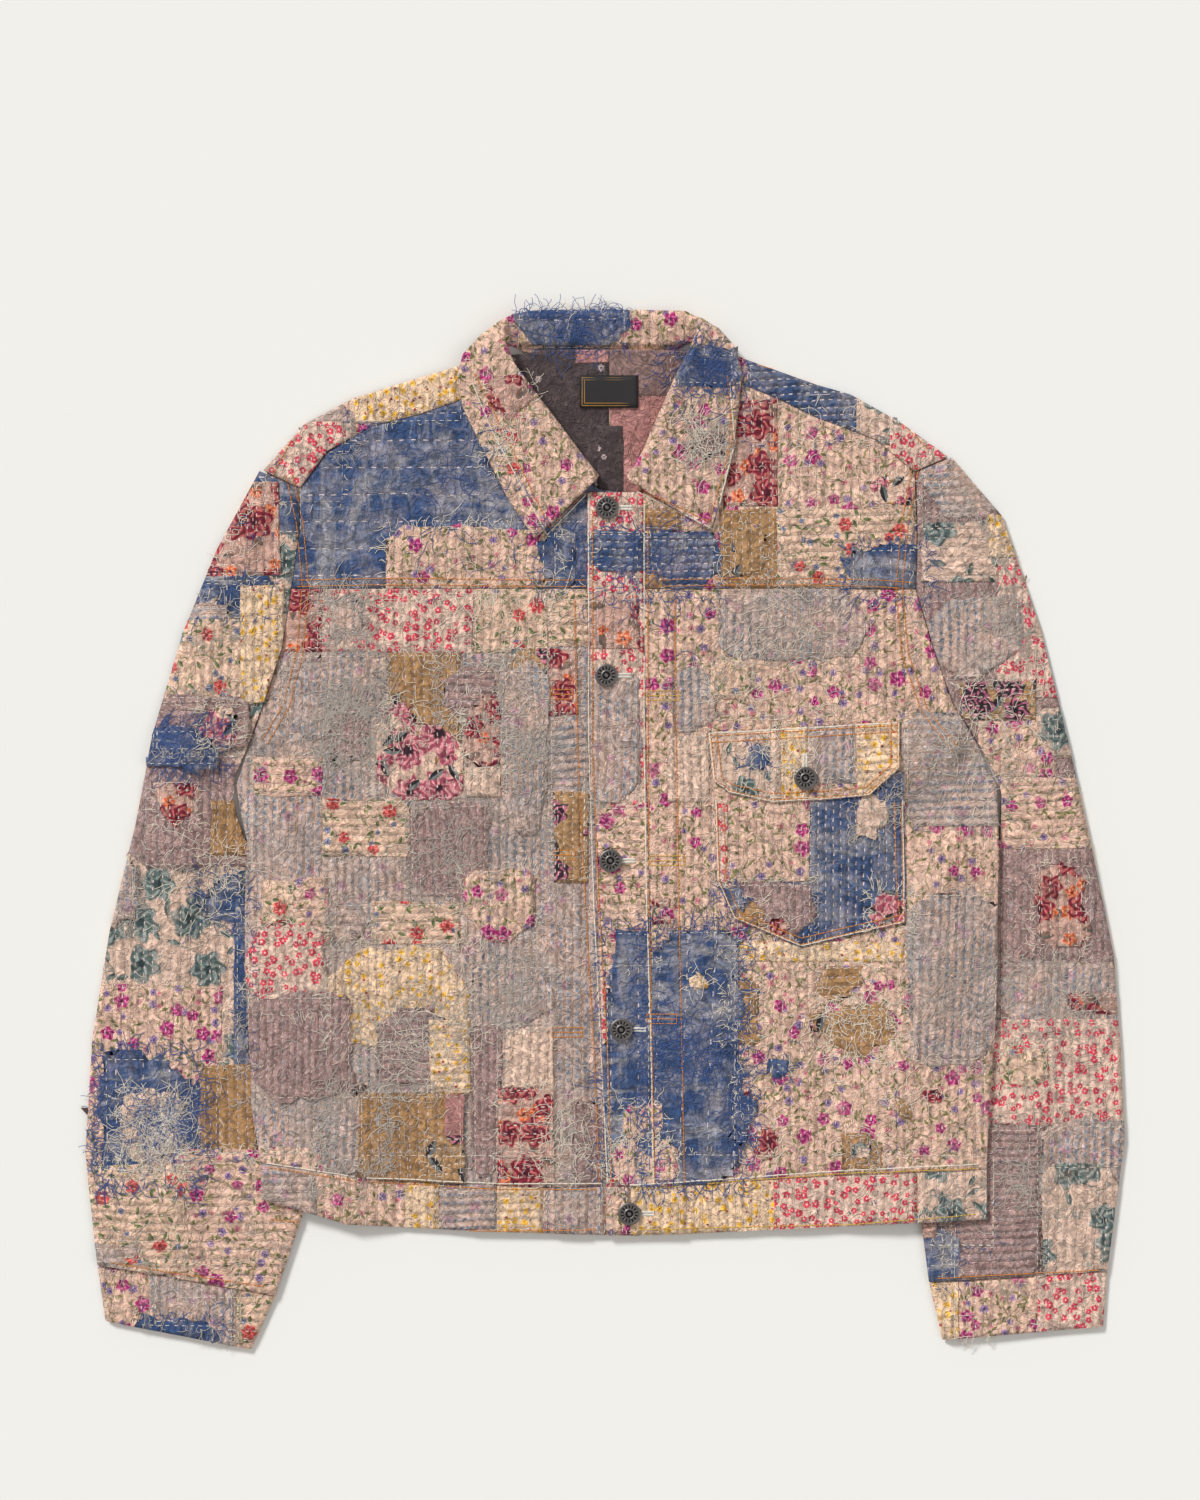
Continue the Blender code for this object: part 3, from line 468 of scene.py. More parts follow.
# Each cut: the cloth under its patches, flat width and length in m, area in m2, and what it rests on
CUTS = {
    "back_panel": ("mauve", 0.570, 0.450, 0.236, "floor"),
    "back_yoke": ("rose", 0.510, 0.185, 0.085, "back_panel"),
    "front_left": ("gauze", 0.310, 0.450, 0.127, "back_panel"),
    "front_right": ("rose", 0.265, 0.445, 0.108, "back_panel"),
    "front_yoke_left": ("denim", 0.256, 0.155, 0.0286, "back_yoke"),
    "front_yoke_right": ("rose", 0.205, 0.160, 0.0257, "back_yoke"),
    "placket": ("coral", 0.050, 0.515, 0.0210, "front_right"),
    "hem_band_back": ("khaki", 0.540, 0.042, 0.0201, "floor"),
    "hem_band_left": ("rose", 0.285, 0.040, 0.0102, "hem_band_back"),
    "hem_band_right": ("yellow", 0.282, 0.043, 0.0110, "hem_band_back"),
    "sleeve_left": ("teal", 0.270, 0.620, 0.1353, "floor"),
    "sleeve_right": ("mauve", 0.250, 0.620, 0.1260, "floor"),
    "cuff_left": ("rose", 0.250, 0.045, 0.0104, "floor"),
    "cuff_right": ("rose", 0.250, 0.047, 0.0109, "floor"),
    "collar": ("rose", 0.360, 0.090, 0.0295, "back_yoke"),
    "pocket": ("sashiko", 0.142, 0.132, 0.0162, "front_right"),
    "pocket_flap": ("rose", 0.144, 0.062, 0.0073, "pocket"),
}
CLOTH_NAMES = list(CLOTHS)
DOWN = Vector((0, 0, -1))
ABOVE = 0.3             # m, higher than the whole garment: rays start here
FACING = 0.25           # the least upward (or downward) part of the normal of a face that shows


def lay_print(work, turn=0.0, shift=(0.0, 0.0)):
    """Lays the print on the cloth: metres in plan, turned and shifted."""
    layer = work.loops.layers.uv.get("cloth") or work.loops.layers.uv.new("cloth")
    c, s = cos(turn), sin(turn)
    for face in work.faces:
        for loop in face.loops:
            x, y = loop.vert.co.x, loop.vert.co.y
            loop[layer].uv = (c * x + s * y + shift[0], c * y - s * x + shift[1])


def add_piece(mesh, name, slot):
    """The object of a mesh, which rides with the garment."""
    piece = bpy.data.objects.new(name, mesh)
    bpy.context.scene.collection.objects.link(piece)
    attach(piece, "root")
    return piece


def make_piece(work, name, materials, slot, smooth=60):
    """A piece of the finished mesh, smooth up to an angle in degrees."""
    mesh = bpy.data.meshes.new(name)
    work.to_mesh(mesh)
    work.free()
    for material in materials:
        mesh.materials.append(material)
    mesh.shade_smooth()
    mesh.set_sharp_from_angle(angle=radians(smooth))
    return add_piece(mesh, name, slot)


def fine_cloth(node, cell=CLOTH_CELL):
    """The solid's mesh, merged, cut into small squares and laid in its creases."""
    work = bmesh.new()
    work.from_mesh(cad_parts[node].data)
    bmesh.ops.remove_doubles(work, verts=work.verts, dist=1e-6)
    low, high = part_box(node)
    for axis in (0, 1):
        normal = Vector((1 - axis, axis, 0))
        for step in range(1, int((high[axis] - low[axis]) / (cell * MM)) + 1):
            bmesh.ops.bisect_plane(
                work, geom=[*work.verts, *work.edges, *work.faces], dist=1e-7,
                plane_co=low + normal * step * cell * MM, plane_no=normal)
    for vert in work.verts:
        vert.co = lie_of_cloth(vert.co)
    work.normal_update()
    return work


def seen_faces(work, side):
    """The faces that show from above (side 1) or from below (side -1)."""
    tree = BVHTree.FromBMesh(work)
    seen = []
    for face in work.faces:
        if side * face.normal.z < FACING:
            continue
        middle = face.calc_center_median()
        hit = tree.ray_cast(middle + Vector((0, 0, side * 0.2)), Vector((0, 0, -side)))
        if hit[2] == face.index:
            seen.append(face)
    return seen


pieces = {}
faces_up = {}       # node: a bmesh of the cloth that shows from above
faces_down = {}
trees = {}
for node, (cloth, width, length, area, under) in CUTS.items():
    work = fine_cloth(node)
    lay_print(work, radians(90) if node == "front_yoke_left" else 0.0)
    trees[node] = BVHTree.FromBMesh(work)
    for side, store in ((1, faces_up), (-1, faces_down)):
        shown = {f.index for f in seen_faces(work, side)}
        copy = work.copy()
        copy.faces.ensure_lookup_table()
        bmesh.ops.delete(copy, geom=[f for f in copy.faces if f.index not in shown], context="FACES")
        store[node] = copy
    slot_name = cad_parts[node].material_slots[0].name
    piece = make_piece(work, node + "_cloth", [CLOTHS[cloth]], slot_name)
    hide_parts(node)
    pieces[node] = piece


# ---------------------------------------------------------------- patches

# cloth, x0, x1, y0, y1 in mm, raggedness of the cut edges, and quarter turns of the print if any.
# A later row lies over the earlier ones.
PATCHES = {
    "front_yoke_left": (
        ("rose", -163, -33, 170, 225, 3.5), ("denim", -50, -20, 178, 222, 3.0),
        ("denim", -190, -150, 300, 345, 1.0, 1),
    ),
    "back_yoke": (
        ("yellow", -189, -104, 300, 350, 0.3), ("gauze", -225, -184, 276, 325, 0.6, 1),
        ("coral", -255, -192, 240, 302, 0.3), ("sashiko", 105, 200, 285, 352, 1.2, 1),
        ("teal", 186, 218, 285, 322, 0.5), ("coral", 211, 260, 255, 300, 0.3), ("lining", -84, 3, 225, 362, 0.3),
        ("lining_taupe", 3, 84, 320, 362, 0.3), ("lining_pink", 3, 60, 225, 321, 0.4),
        ("lining_pink", -22, 3, 345, 362, 1.0), ("lining", -6, 14, 225, 300, 1.0),
    ),
    "front_yoke_right": (
        ("wine", 87, 128, 239, 318, 0.5), ("khaki", 85, 127, 170, 237, 0.4), ("dark", 93, 119, 186, 226, 2.0),
        ("garden", 127, 229, 170, 237, 0.4, 1), ("denim", 178, 241, 170, 212, 4.0),
        ("sashiko", 20, 85, 170, 221, 3.5, 1), ("khaki", 20, 56, 221, 238, 0.5, 1), ("khaki", 20, 43, 170, 192, 1.0),
        ("peony", 196, 232, 240, 262, 1.0),
    ),
    "placket": (
        ("sashiko", -14, 38, 190, 223, 2.6, 1), ("wine", -14, 26, 133, 173, 0.5), ("gauze", -14, 27, 18, 114, 0.5),
        ("rose", -14, 38, -104, 18, 0.4, 1), ("denim", -3, 40, -266, -72, 3.5), ("rose", 12, 40, -228, -202, 2.5),
        ("rose", 5, 40, -266, -230, 3.0),
    ),
    "front_left": (
        ("wine", -242, -209, 131, 180, 0.6, 1), ("coral", -209, -98, 131, 180, 0.4),
        ("gauze", -209, -176, 140, 176, 3.0), ("garden", -98, -43, 131, 180, 0.4),
        ("garden", -42, -12, 135, 180, 0.4, 1), ("gauze", -238, -161, 67, 131, 0.5),
        ("khaki", -161, -106, 63, 131, 0.5), ("mauve", -123, -77, 80, 123, 1.8, 1), ("dark", -70, -43, 114, 134, 0.5),
        ("wine", -42, -20, 84, 134, 0.5), ("peony", -170, -104, 21, 80, 0.6), ("peony", -162, -138, 72, 97, 2.2, 1),
        ("wine", -104, -72, 42, 101, 2.0, 2), ("cream", -104, -77, 24, 46, 1.0), ("gauze", -77, -43, -4, 126, 0.5),
        ("mauve", -206, -174, 46, 97, 4.0), ("rose", -260, -209, 25, 55, 1.0, 1),
        ("gauze", -43, -12, -20, 84, 0.4, 1), ("dark", -38, -12, -40, 28, 0.6),
        ("garden", -209, -144, -20, 23, 0.6, 1), ("mauve", -147, -85, -52, 21, 1.0),
        ("rose", -106, -51, -83, -28, 2.2, 2), ("garden", -255, -227, -69, -37, 0.8, 2),
        ("rose", -230, -204, -85, -35, 0.6, 1), ("gauze", -204, -172, -85, -51, 1.0, 1),
        ("garden", -173, -107, -85, -53, 0.6, 3), ("coral", -265, -206, -137, -68, 3.2),
        ("yellow", -206, -101, -162, -85, 3.5), ("mauve", -270, -184, -202, -120, 1.2),
        ("mauve", -169, -112, -189, -130, 1.2, 1), ("gauze", -100, -36, -148, -98, 0.6),
        ("yellow", -130, -100, -195, -140, 1.0, 1), ("gauze", -207, -159, -252, -189, 2.6),
        ("khaki", -182, -104, -270, -195, 0.6), ("lining_pink", -118, -104, -238, -195, 1.0),
        ("dark", -134, -104, -270, -225, 1.4, 1), ("mauve", -100, -76, -258, -141, 0.5),
        ("cream", -76, -38, -191, -146, 0.8), ("wine", -80, -37, -270, -191, 0.6, 1),
        ("gauze", -38, -18, -262, -211, 0.6), ("mauve", -26, 2, -270, -200, 0.6),
        ("rose", -262, -209, -270, -234, 1.0, 2),
    ),
    "front_right": (
        ("gauze", 49, 84, 70, 122, 0.6), ("cream", 46, 78, 20, 70, 0.8), ("gauze", 84, 196, 126, 182, 0.6),
        ("gauze", 219, 298, 2, 87, 0.8, 1), ("gauze", 224, 298, -174, -44, 0.7), ("garden", 76, 112, 96, 128, 2.0),
        ("yellow", 84, 221, -98, -83, 0.5), ("khaki", 87, 116, -160, -109, 3.4), ("dark", 89, 112, -146, -120, 3.0),
        ("khaki", 157, 192, -128, -98, 3.4, 1), ("khaki", 164, 212, -172, -128, 4.0),
        ("khaki", 174, 206, -252, -224, 3.2), ("dark", 150, 166, -156, -134, 3.0, 1),
        ("dark", 212, 226, -214, -200, 2.6), ("teal", 182, 199, -246, -230, 2.0, 1),
        ("wine", 95, 110, -211, -179, 2.2, 1), ("wine", 108, 132, -243, -217, 2.2),
        ("wine", 235, 250, -202, -191, 1.5), ("denim", 119, 136, -184, -169, 3.0), ("wine", 34, 49, -58, -51, 0.6),
        ("wine", 34, 49, -70, -64, 0.6, 1), ("denim", 26, 103, -266, -70, 6.0),
        ("denim", 88, 112, -236, -196, 5.0, 1), ("rose", 26, 44, -228, -202, 2.5),
        ("rose", 26, 54, -270, -230, 3.0, 1), ("yellow", 60, 76, -120, -104, 3.0),
    ),
    "hem_band_left": (
        ("yellow", -148, -123, -310, -238, 0.3), ("gauze", -123, -80, -310, -238, 0.3, 1),
        ("yellow", -80, -46, -310, -238, 0.3, 1), ("gauze", -46, 0, -310, -238, 0.3),
        ("garden", 1, 30, -310, -238, 0.3), ("gauze", -262, -214, -310, -238, 0.6, 1),
    ),
    "hem_band_right": (
        ("rose", 0, 19, -310, -238, 0.3), ("coral", 125, 231, -310, -238, 0.3), ("teal", 231, 290, -310, -238, 0.3),
    ),
    "hem_band_back": (
        ("gauze", -180, -60, -310, -238, 0.3, 1), ("rose", 40, 130, -310, -238, 0.3),
        ("denim", 200, 290, -310, -238, 0.3),
    ),
    "pocket": (
        ("rose", 78, 152, -39, 45, 0.8), ("coral", 78, 91, -39, 22, 0.4), ("mauve", 78, 155, -90, -38, 0.8),
        ("dark", 96, 118, -76, -50, 2.2, 1), ("wine", 121, 138, -79, -65, 1.8), ("teal", 184, 212, -9, 27, 2.6),
        ("peony", 195, 226, -74, -43, 1.6), ("denim", 84, 104, -62, -40, 2.6, 1),
    ),
    "pocket_flap": (
        ("teal", 70, 127, 14, 84, 0.5), ("cream", 122, 130, 14, 84, 0.2), ("yellow", 130, 150, 14, 84, 0.3),
        ("gauze", 150, 186, 34, 84, 0.3), ("yellow", 186, 224, 14, 84, 0.4, 1), ("denim", 104, 120, 44, 62, 2.0, 1),
    ),
    "sleeve_left": (
        ("denim", -264, -222, 218, 270, 0.8, 1), ("wine", -294, -240, 188, 258, 0.6),
        ("wine", -306, -262, 178, 205, 1.0, 1), ("denim", -312, -245, 156, 188, 1.4),
        ("gauze", -320, -275, 139, 169, 1.4, 1), ("garden", -330, -258, 92, 156, 0.6),
        ("yellow", -270, -238, 94, 181, 0.5), ("mauve", -338, -262, 56, 101, 0.8, 1),
        ("peony", -300, -270, 62, 92, 2.0), ("mauve", -356, -256, -29, 58, 0.6), ("denim", -350, -283, 43, 79, 5.0),
        ("wine", -334, -300, 2, 34, 2.4), ("khaki", -292, -264, -20, 22, 1.0), ("gauze", -372, -344, -70, -20, 1.5),
        ("denim", -300, -266, -68, -31, 4.0, 1), ("denim", -275, -260, -182, -52, 0.6),
        ("rose", -390, -284, -248, -115, 0.8), ("denim", -375, -299, -265, -163, 6.0),
        ("cream", -361, -310, -256, -192, 5.0), ("gauze", -344, -316, -240, -204, 4.0, 1),
        ("khaki", -299, -256, -243, -174, 0.8), ("rose", -319, -215, -350, -236, 0.8, 1),
        ("garden", -392, -308, -330, -248, 1.0, 1), ("gauze", -384, -345, -326, -304, 1.5, 1),
    ),
    "cuff_left": (
        ("gauze", -336, -273, -388, -318, 0.6), ("denim", -350, -285, -392, -362, 3.0, 1),
        ("garden", -273, -240, -380, -318, 0.4, 1),
    ),
    "sleeve_right": (
        ("gauze", 232, 293, 230, 280, 0.8, 1), ("teal", 234, 292, 183, 228, 0.6, 1),
        ("yellow", 283, 306, 201, 233, 0.6), ("coral", 290, 346, 97, 201, 0.5), ("gauze", 232, 309, 110, 172, 0.6),
        ("dark", 262, 319, 81, 110, 0.6, 1), ("rose", 276, 334, 39, 81, 0.6), ("teal", 319, 360, 52, 92, 0.8),
        ("rose", 280, 372, -14, 39, 0.6, 1), ("wine", 317, 356, -89, -23, 1.8), ("gauze", 284, 392, -150, -96, 0.6),
        ("wine", 340, 390, -138, -120, 1.5, 1), ("coral", 276, 392, -219, -140, 0.6),
        ("gauze", 309, 390, -282, -216, 0.8), ("mauve", 252, 323, -340, -219, 0.8, 1),
        ("teal", 323, 390, -340, -247, 0.8), ("denim", 222, 262, -340, -289, 1.2),
        ("wine", 222, 246, -304, -288, 1.5, 1), ("garden", 290, 330, -190, -160, 2.5),
    ),
    "cuff_right": (
        ("coral", 320, 380, -384, -320, 0.4), ("yellow", 236, 262, -384, -320, 0.4),
    ),
    "collar": (
        ("denim", -67, 18, 354, 390, 1.6, 1), ("denim", 44, 106, 325, 356, 3.5), ("mauve", 64, 90, 270, 297, 3.0),
        ("wine", -88, -52, 303, 336, 2.0), ("garden", -92, -60, 262, 296, 1.4, 1),
    ),
}
# The hidden undersides: patch width and height in mm, and their cloths
BACK_CELLS = {"back_panel": (82, 74), "back_yoke": (96, 64), "sleeve_left": (70, 88), "sleeve_right": (70, 88)}
BACK_CLOTHS = ("gauze", "khaki", "rose", "mauve", "denim", "coral", "garden", "yellow", "teal", "gauze", "rose")
RAGGED = 1.4            # from this raggedness on, a patch's corners are cut off too
# How much more a cloth's edges fray
THREADBARE = {"gauze": 4.2, "mauve": 3.6, "denim": 1.4, "peony": 3.0, "wine": 1.6, "teal": 2.0}


def fray(value, place, seed):
    """A ragged cut edge: long bites and short nicks, as a share of the raggedness."""
    long_bite = noise.noise(Vector((place / 17.0, seed, 0)))
    short_nick = noise.noise(Vector((place / 4.5, seed, 9)))
    wide_bite = noise.noise(Vector((place / 42.0, seed, 4)))
    return value * (1.5 * wide_bite + 1.0 * long_bite + 0.5 * short_nick)


def patch_mesh(panel, tree, row, lift, side, rng):
    """One patch, cut from the seen face of its panel, with ragged edges and a thin edge of its own."""
    cloth, x0, x1, y0, y1, rag, turn = (*row, 0)[:7]
    rag *= THREADBARE.get(cloth, 1.0)
    work = panel.copy()
    outside = [
        f for f in work.faces
        if all(v.co.x < (x0 - SPARE) * MM for v in f.verts) or all(v.co.x > (x1 + SPARE) * MM for v in f.verts)
        or all(v.co.y < (y0 - SPARE) * MM for v in f.verts) or all(v.co.y > (y1 + SPARE) * MM for v in f.verts)]
    bmesh.ops.delete(work, geom=outside, context="FACES")
    seed = rng.uniform(0, 50)
    mid_x, mid_y = (x0 + x1) / 2, (y0 + y1) / 2
    cuts = [(x0, mid_y, -1, 0), (x1, mid_y, 1, 0), (mid_x, y0, 0, -1), (mid_x, y1, 0, 1)]
    if rag > RAGGED:
        corner = 0.16 * min(x1 - x0, y1 - y0, 60)
        for x, y, nx, ny in ((x0, y0, -1, -1), (x1, y0, 1, -1), (x0, y1, -1, 1), (x1, y1, 1, 1)):
            off = corner * rng.uniform(0.2, 1.5)
            cuts.append((x - nx * off, y - ny * off, nx * rng.uniform(0.6, 1.2), ny * rng.uniform(0.6, 1.2)))
    for x, y, nx, ny in cuts:
        tilt = rng.uniform(-0.02, 0.02) if rag < 2 else rng.uniform(-0.09, 0.09)
        normal = (Vector((nx, ny, 0)) + Vector((-ny, nx, 0)) * tilt).normalized()
        middle = Vector((x, y, 0)) * MM
        result = bmesh.ops.bisect_plane(
            work, geom=[*work.verts, *work.edges, *work.faces], dist=1e-7, plane_co=middle, plane_no=normal,
            clear_outer=True)
        cut = [e for e in result["geom_cut"] if isinstance(e, bmesh.types.BMEdge) and e.is_valid]
        long_edges = [e for e in cut if e.calc_length() > FRAY_STEP * MM]
        if long_edges:
            bmesh.ops.subdivide_edges(work, edges=long_edges, cuts=3 if rag > 1 else 1)
        for vert in work.verts:
            off = (vert.co - middle).to_2d().dot(normal.to_2d())
            if abs(off) < 2e-5:
                place = (vert.co.x + vert.co.y * 1.3) / MM
                vert.co += normal * (fray(rag, place, seed + 7 * nx + 3 * ny) - 0.4 * rag) * MM
                hit = tree.ray_cast(Vector((vert.co.x, vert.co.y, side * ABOVE)), Vector((0, 0, -side)))
                if hit[0] is not None and abs(hit[0].z - vert.co.z) < 0.004:
                    vert.co.z = hit[0].z
    if not work.faces:
        work.free()
        return None
    lay_print(work, radians(90 * turn + rng.uniform(-2.5, 2.5)), (rng.uniform(-0.3, 0.3), rng.uniform(-0.3, 0.3)))
    for vert in work.verts:
        vert.co.z += side * lift * MM
    rim = bmesh.ops.extrude_edge_only(work, edges=[e for e in work.edges if e.is_boundary])
    for item in rim["geom"]:
        if isinstance(item, bmesh.types.BMVert):
            item.co.z -= side * (lift + RIM_TUCK) * MM
    for face in work.faces:
        face.material_index = CLOTH_NAMES.index(cloth)
    return work


def patch_layer(node, rows, panel, side):
    """All the patches of one cut piece in one mesh; each lies over those that it overlaps."""
    rng = Random(node + str(side))
    layer = bmesh.new()
    laid = []
    for row in rows:
        x0, x1, y0, y1 = row[1:5]
        under = [
            level for level, (a0, a1, b0, b1) in laid
            if a0 < x1 - TOUCH and x0 + TOUCH < a1 and b0 < y1 - TOUCH and y0 + TOUCH < b1]
        level = 1 + max(under, default=-1)
        lift = FIRST_LIFT + level * NEXT_LIFT if side > 0 else UNDER_LIFT
        work = patch_mesh(panel, trees[node], row, lift, side, rng)
        if work is None:
            continue
        laid.append((level, (x0, x1, y0, y1)))
        part = bpy.data.meshes.new("part")
        work.to_mesh(part)
        work.free()
        layer.from_mesh(part)
        bpy.data.meshes.remove(part)
    layer.normal_update()
    name = node + ("_patches" if side > 0 else "_back_patches")
    return make_piece(layer, name, list(CLOTHS.values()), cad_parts[node].material_slots[0].name, 50)


going_with = {node: [] for node in CUTS}
for node, rows in PATCHES.items():
    going_with[node].append(patch_layer(node, rows, faces_up[node], 1))
for node, (wide, tall) in BACK_CELLS.items():
    rng = Random(node)
    low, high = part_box(node)
    rows = []
    y = low.y / MM - 4
    while y < high.y / MM:
        height = tall * rng.uniform(0.7, 1.2)
        x = low.x / MM - 4
        while x < high.x / MM:
            width = wide * rng.uniform(0.6, 1.3)
            rows.append((
                rng.choice(BACK_CLOTHS), x, x + width, y, y + height, rng.choice((0.4, 0.6, 2.5)), rng.randrange(4)))
            x += width
        y += height
    going_with[node].append(patch_layer(node, rows, faces_down[node], -1))


# ---------------------------------------------------------------- threads

def all_cloth_tree():
    """One search tree over every cloth and patch, to lay threads on."""
    points, faces = [], []
    for piece in [*pieces.values(), *(p for group in going_with.values() for p in group)]:
        first = len(points)
        points.extend(v.co.copy() for v in piece.data.vertices)
        faces.extend([first + i for i in f.vertices] for f in piece.data.polygons)
    return BVHTree.FromPolygons(points, faces)


top = all_cloth_tree()


def height(x, y):
    """Height in mm of the uppermost cloth at (x, y) in mm, or None where there is none."""
    hit = top.ray_cast(Vector((x * MM, y * MM, ABOVE)), DOWN)[0]
    return None if hit is None else hit.z / MM


def thread_piece(name, runs, radius, finish, slot, sheets):
    """Threads of one kind in one mesh. A run is a list of points in mm."""
    line = bpy.data.curves.new(name, "CURVE")
    line.dimensions = "3D"
    line.bevel_depth = radius * MM
    line.bevel_resolution = 0
    line.use_fill_caps = True
    for run in runs:
        spline = line.splines.new("POLY")
        spline.points.add(len(run) - 1)
        for point, (x, y, z) in zip(spline.points, run):
            point.co = (x * MM, y * MM, z * MM, 1)
    drawn = bpy.data.objects.new(name + "_line", line)
    mesh = bpy.data.meshes.new_from_object(drawn)
    mesh.name = name
    bpy.data.objects.remove(drawn)
    mesh.materials.clear()
    mesh.materials.append(finish)
    mesh.shade_smooth()
    piece = add_piece(mesh, name, slot)
    for sheet in sheets:
        going_with[sheet].append(piece)


def stitch_line(path, pitch, dash, rng=Random(3), proud=0.32):
    """Running stitches along a path of (x, y) points in mm; each dips into the cloth at its ends."""
    runs = []
    for (x0, y0), (x1, y1) in zip(path, path[1:]):
        length = hypot(x1 - x0, y1 - y0)
        count = max(1, int(length / pitch))
        ux, uy = (x1 - x0) / length, (y1 - y0) / length
        for i in range(count):
            start = (i + 0.5 + rng.uniform(-0.08, 0.08)) * length / count - dash / 2
            end = start + dash * rng.uniform(0.85, 1.1)
            aside = rng.uniform(-0.12, 0.12)
            run = []
            for share, lift in ((0.0, -0.15), (0.3, proud), (0.7, proud), (1.0, -0.15)):
                at = start + (end - start) * share
                x, y = x0 + ux * at - uy * aside, y0 + uy * at + ux * aside
                z = height(x, y)
                if z is None:
                    break
                run.append((x, y, z + lift))
            if len(run) == 4:
                runs.append(run)
    return runs


def beside(path, off):
    """The path moved sideways by off mm."""
    moved = []
    for i, (x, y) in enumerate(path):
        x0, y0 = path[max(i - 1, 0)]
        x1, y1 = path[min(i + 1, len(path) - 1)]
        length = hypot(x1 - x0, y1 - y0)
        moved.append((x - (y1 - y0) / length * off, y + (x1 - x0) / length * off))
    return moved


# Topstitched seams: thread, number of lines (below 0 to the right of the way it runs), the seam's points
TOPSTITCH = (
    ("orange", 2, (-228, 178), (-180, 179), (-120, 179), (-60, 178), (-14, 178)),
    ("orange", 2, (40, 178), (90, 179), (150, 179), (200, 178), (228, 176)),
    ("orange", 1, (-11, 236), (-11, 60), (-6, -60), (0, -160), (3, -262)),
    ("orange", 1, (30, 232), (30, 60), (31, -60), (33, -160), (35, -262)),
    ("orange", 1, (-24, 170), (-22, 60), (-16, -60), (-10, -160), (-6, -262)),
    ("orange", 1, (50, 170), (51, 60), (53, -60), (55, -160), (57, -262)),
    ("orange", -2, (234, 268), (226, 225), (222, 180), (226, 132), (240, 90), (262, 62)),
    ("orange", 2, (-238, 262), (-230, 225), (-226, 180), (-230, 132), (-240, 92), (-256, 66)),
    ("orange", 1, (-248, -251), (-180, -262), (-80, -268), (-6, -268)),
    ("yellow", 1, (22, -268), (100, -262), (180, -256), (274, -252)),
    ("orange", 1, (-248, -290), (-180, -298), (-80, -299), (-6, -298)),
    ("yellow", 1, (24, -298), (100, -296), (180, -294), (274, -286)),
    ("orange", 2, (81, 20), (83, -39), (95, -66), (145, -87), (221, -69), (222, -38), (221, 20)),
    ("orange", 2, (76, 72), (80, 36), (92, 27), (124, 20), (163, 22), (195, 25), (217, 45), (218, 80)),
    ("orange", 2, (216, 79), (150, 75), (78, 71)),
    ("orange", 1, (-366, -322), (-330, -328), (-252, -340)),
    ("orange", 1, (246, -334), (300, -331), (366, -328)),
    ("orange", 1, (-98, 336), (-80, 300), (-42, 222), (-14, 248)),
    ("orange", -1, (92, 336), (96, 290), (78, 226), (24, 250)),
    ("orange", 1, (-190, 342), (-222, 312), (-248, 262)), ("orange", 1, (112, 342), (160, 330), (206, 312), (238, 280)),
)
# Folds and edges rubbed white, with painted highlight along their ridges, as (x, y) points
WORN_AND_HIGHLIGHT_EDGES = (
    ((77, 72), (81, 37), (92, 28), (124, 21), (163, 23), (195, 26), (216, 46), (217, 79)),
    ((217, 79), (150, 75), (77, 71)),
    ((82, 22), (84, -38), (96, -65), (145, -86), (220, -68), (221, -38), (220, 22)),
    ((-12, 246), (-12, 60), (-8, -60), (-3, -160), (2, -262)), ((29, 240), (29, 60), (31, -60), (34, -160), (36, -262)),
    ((-98, 330), (-84, 296), (-43, 218), (-14, 248)), ((92, 330), (96, 286), (80, 222), (24, 250)),
    ((-250, -246), (-180, -257), (-80, -262), (-2, -262)), ((18, -263), (100, -258), (180, -252), (276, -247)),
)
# Stitches: pitch and length, mm
SEAM, TACK, TACK_SIDE, FOLD, HOLD = (3.0, 2.5), (2.2, 2.0), (2.2, 1.9), (4.0, 3.9), (5.6, 2.8)
# Small dense tacks: thread, middle, width and height
TACKS = (
    ("yellow", 42, 99, 26, 7), ("yellow", 46, -23, 26, 7), ("orange", -30, -19, 16, 7), ("orange", -28, -150, 22, 7),
    ("orange", 42, -140, 22, 7), ("orange", -32, 100, 16, 7),
)
seam_runs = {"orange": [], "yellow": []}
for thread, lines, *path in TOPSTITCH:
    for number in range(abs(lines)):
        side = 1 if lines > 0 else -1
        seam_runs[thread] += stitch_line(beside(path, side * (1.8 + 4.8 * number)), *SEAM, proud=0.45)
for thread, x, y, wide, tall in TACKS:
    for y0 in (y - tall / 2, y, y + tall / 2):
        seam_runs[thread] += stitch_line([(x - wide / 2, y0), (x + wide / 2, y0)], *TACK)
    for x0 in (x - wide / 2, x + wide / 2):
        seam_runs[thread] += stitch_line([(x0, y - tall / 2), (x0, y + tall / 2)], *TACK_SIDE)

# Cream thread along folds and edges: part rubbed-white wear, part painted highlight on the ridges
worn_and_highlight_runs = [run for path in WORN_AND_HIGHLIGHT_EDGES for run in stitch_line(path, *FOLD, Random(5), 0.12)]

# Hand stitches that hold each patch down, a little inside its edge
hold_runs = {"cream": [], "grey": [], "blue": []}
fray_runs = {"cream": [], "grey": [], "blue": []}
STITCH_OF = {"denim": "cream", "sashiko": "cream", "gauze": "cream", "mauve": "cream", "rose": "cream", "coral": "grey"}
FRAY_OF = {"denim": "blue", "sashiko": "blue", "gauze": "grey", "mauve": "grey", "teal": "grey"}
rng = Random(11)


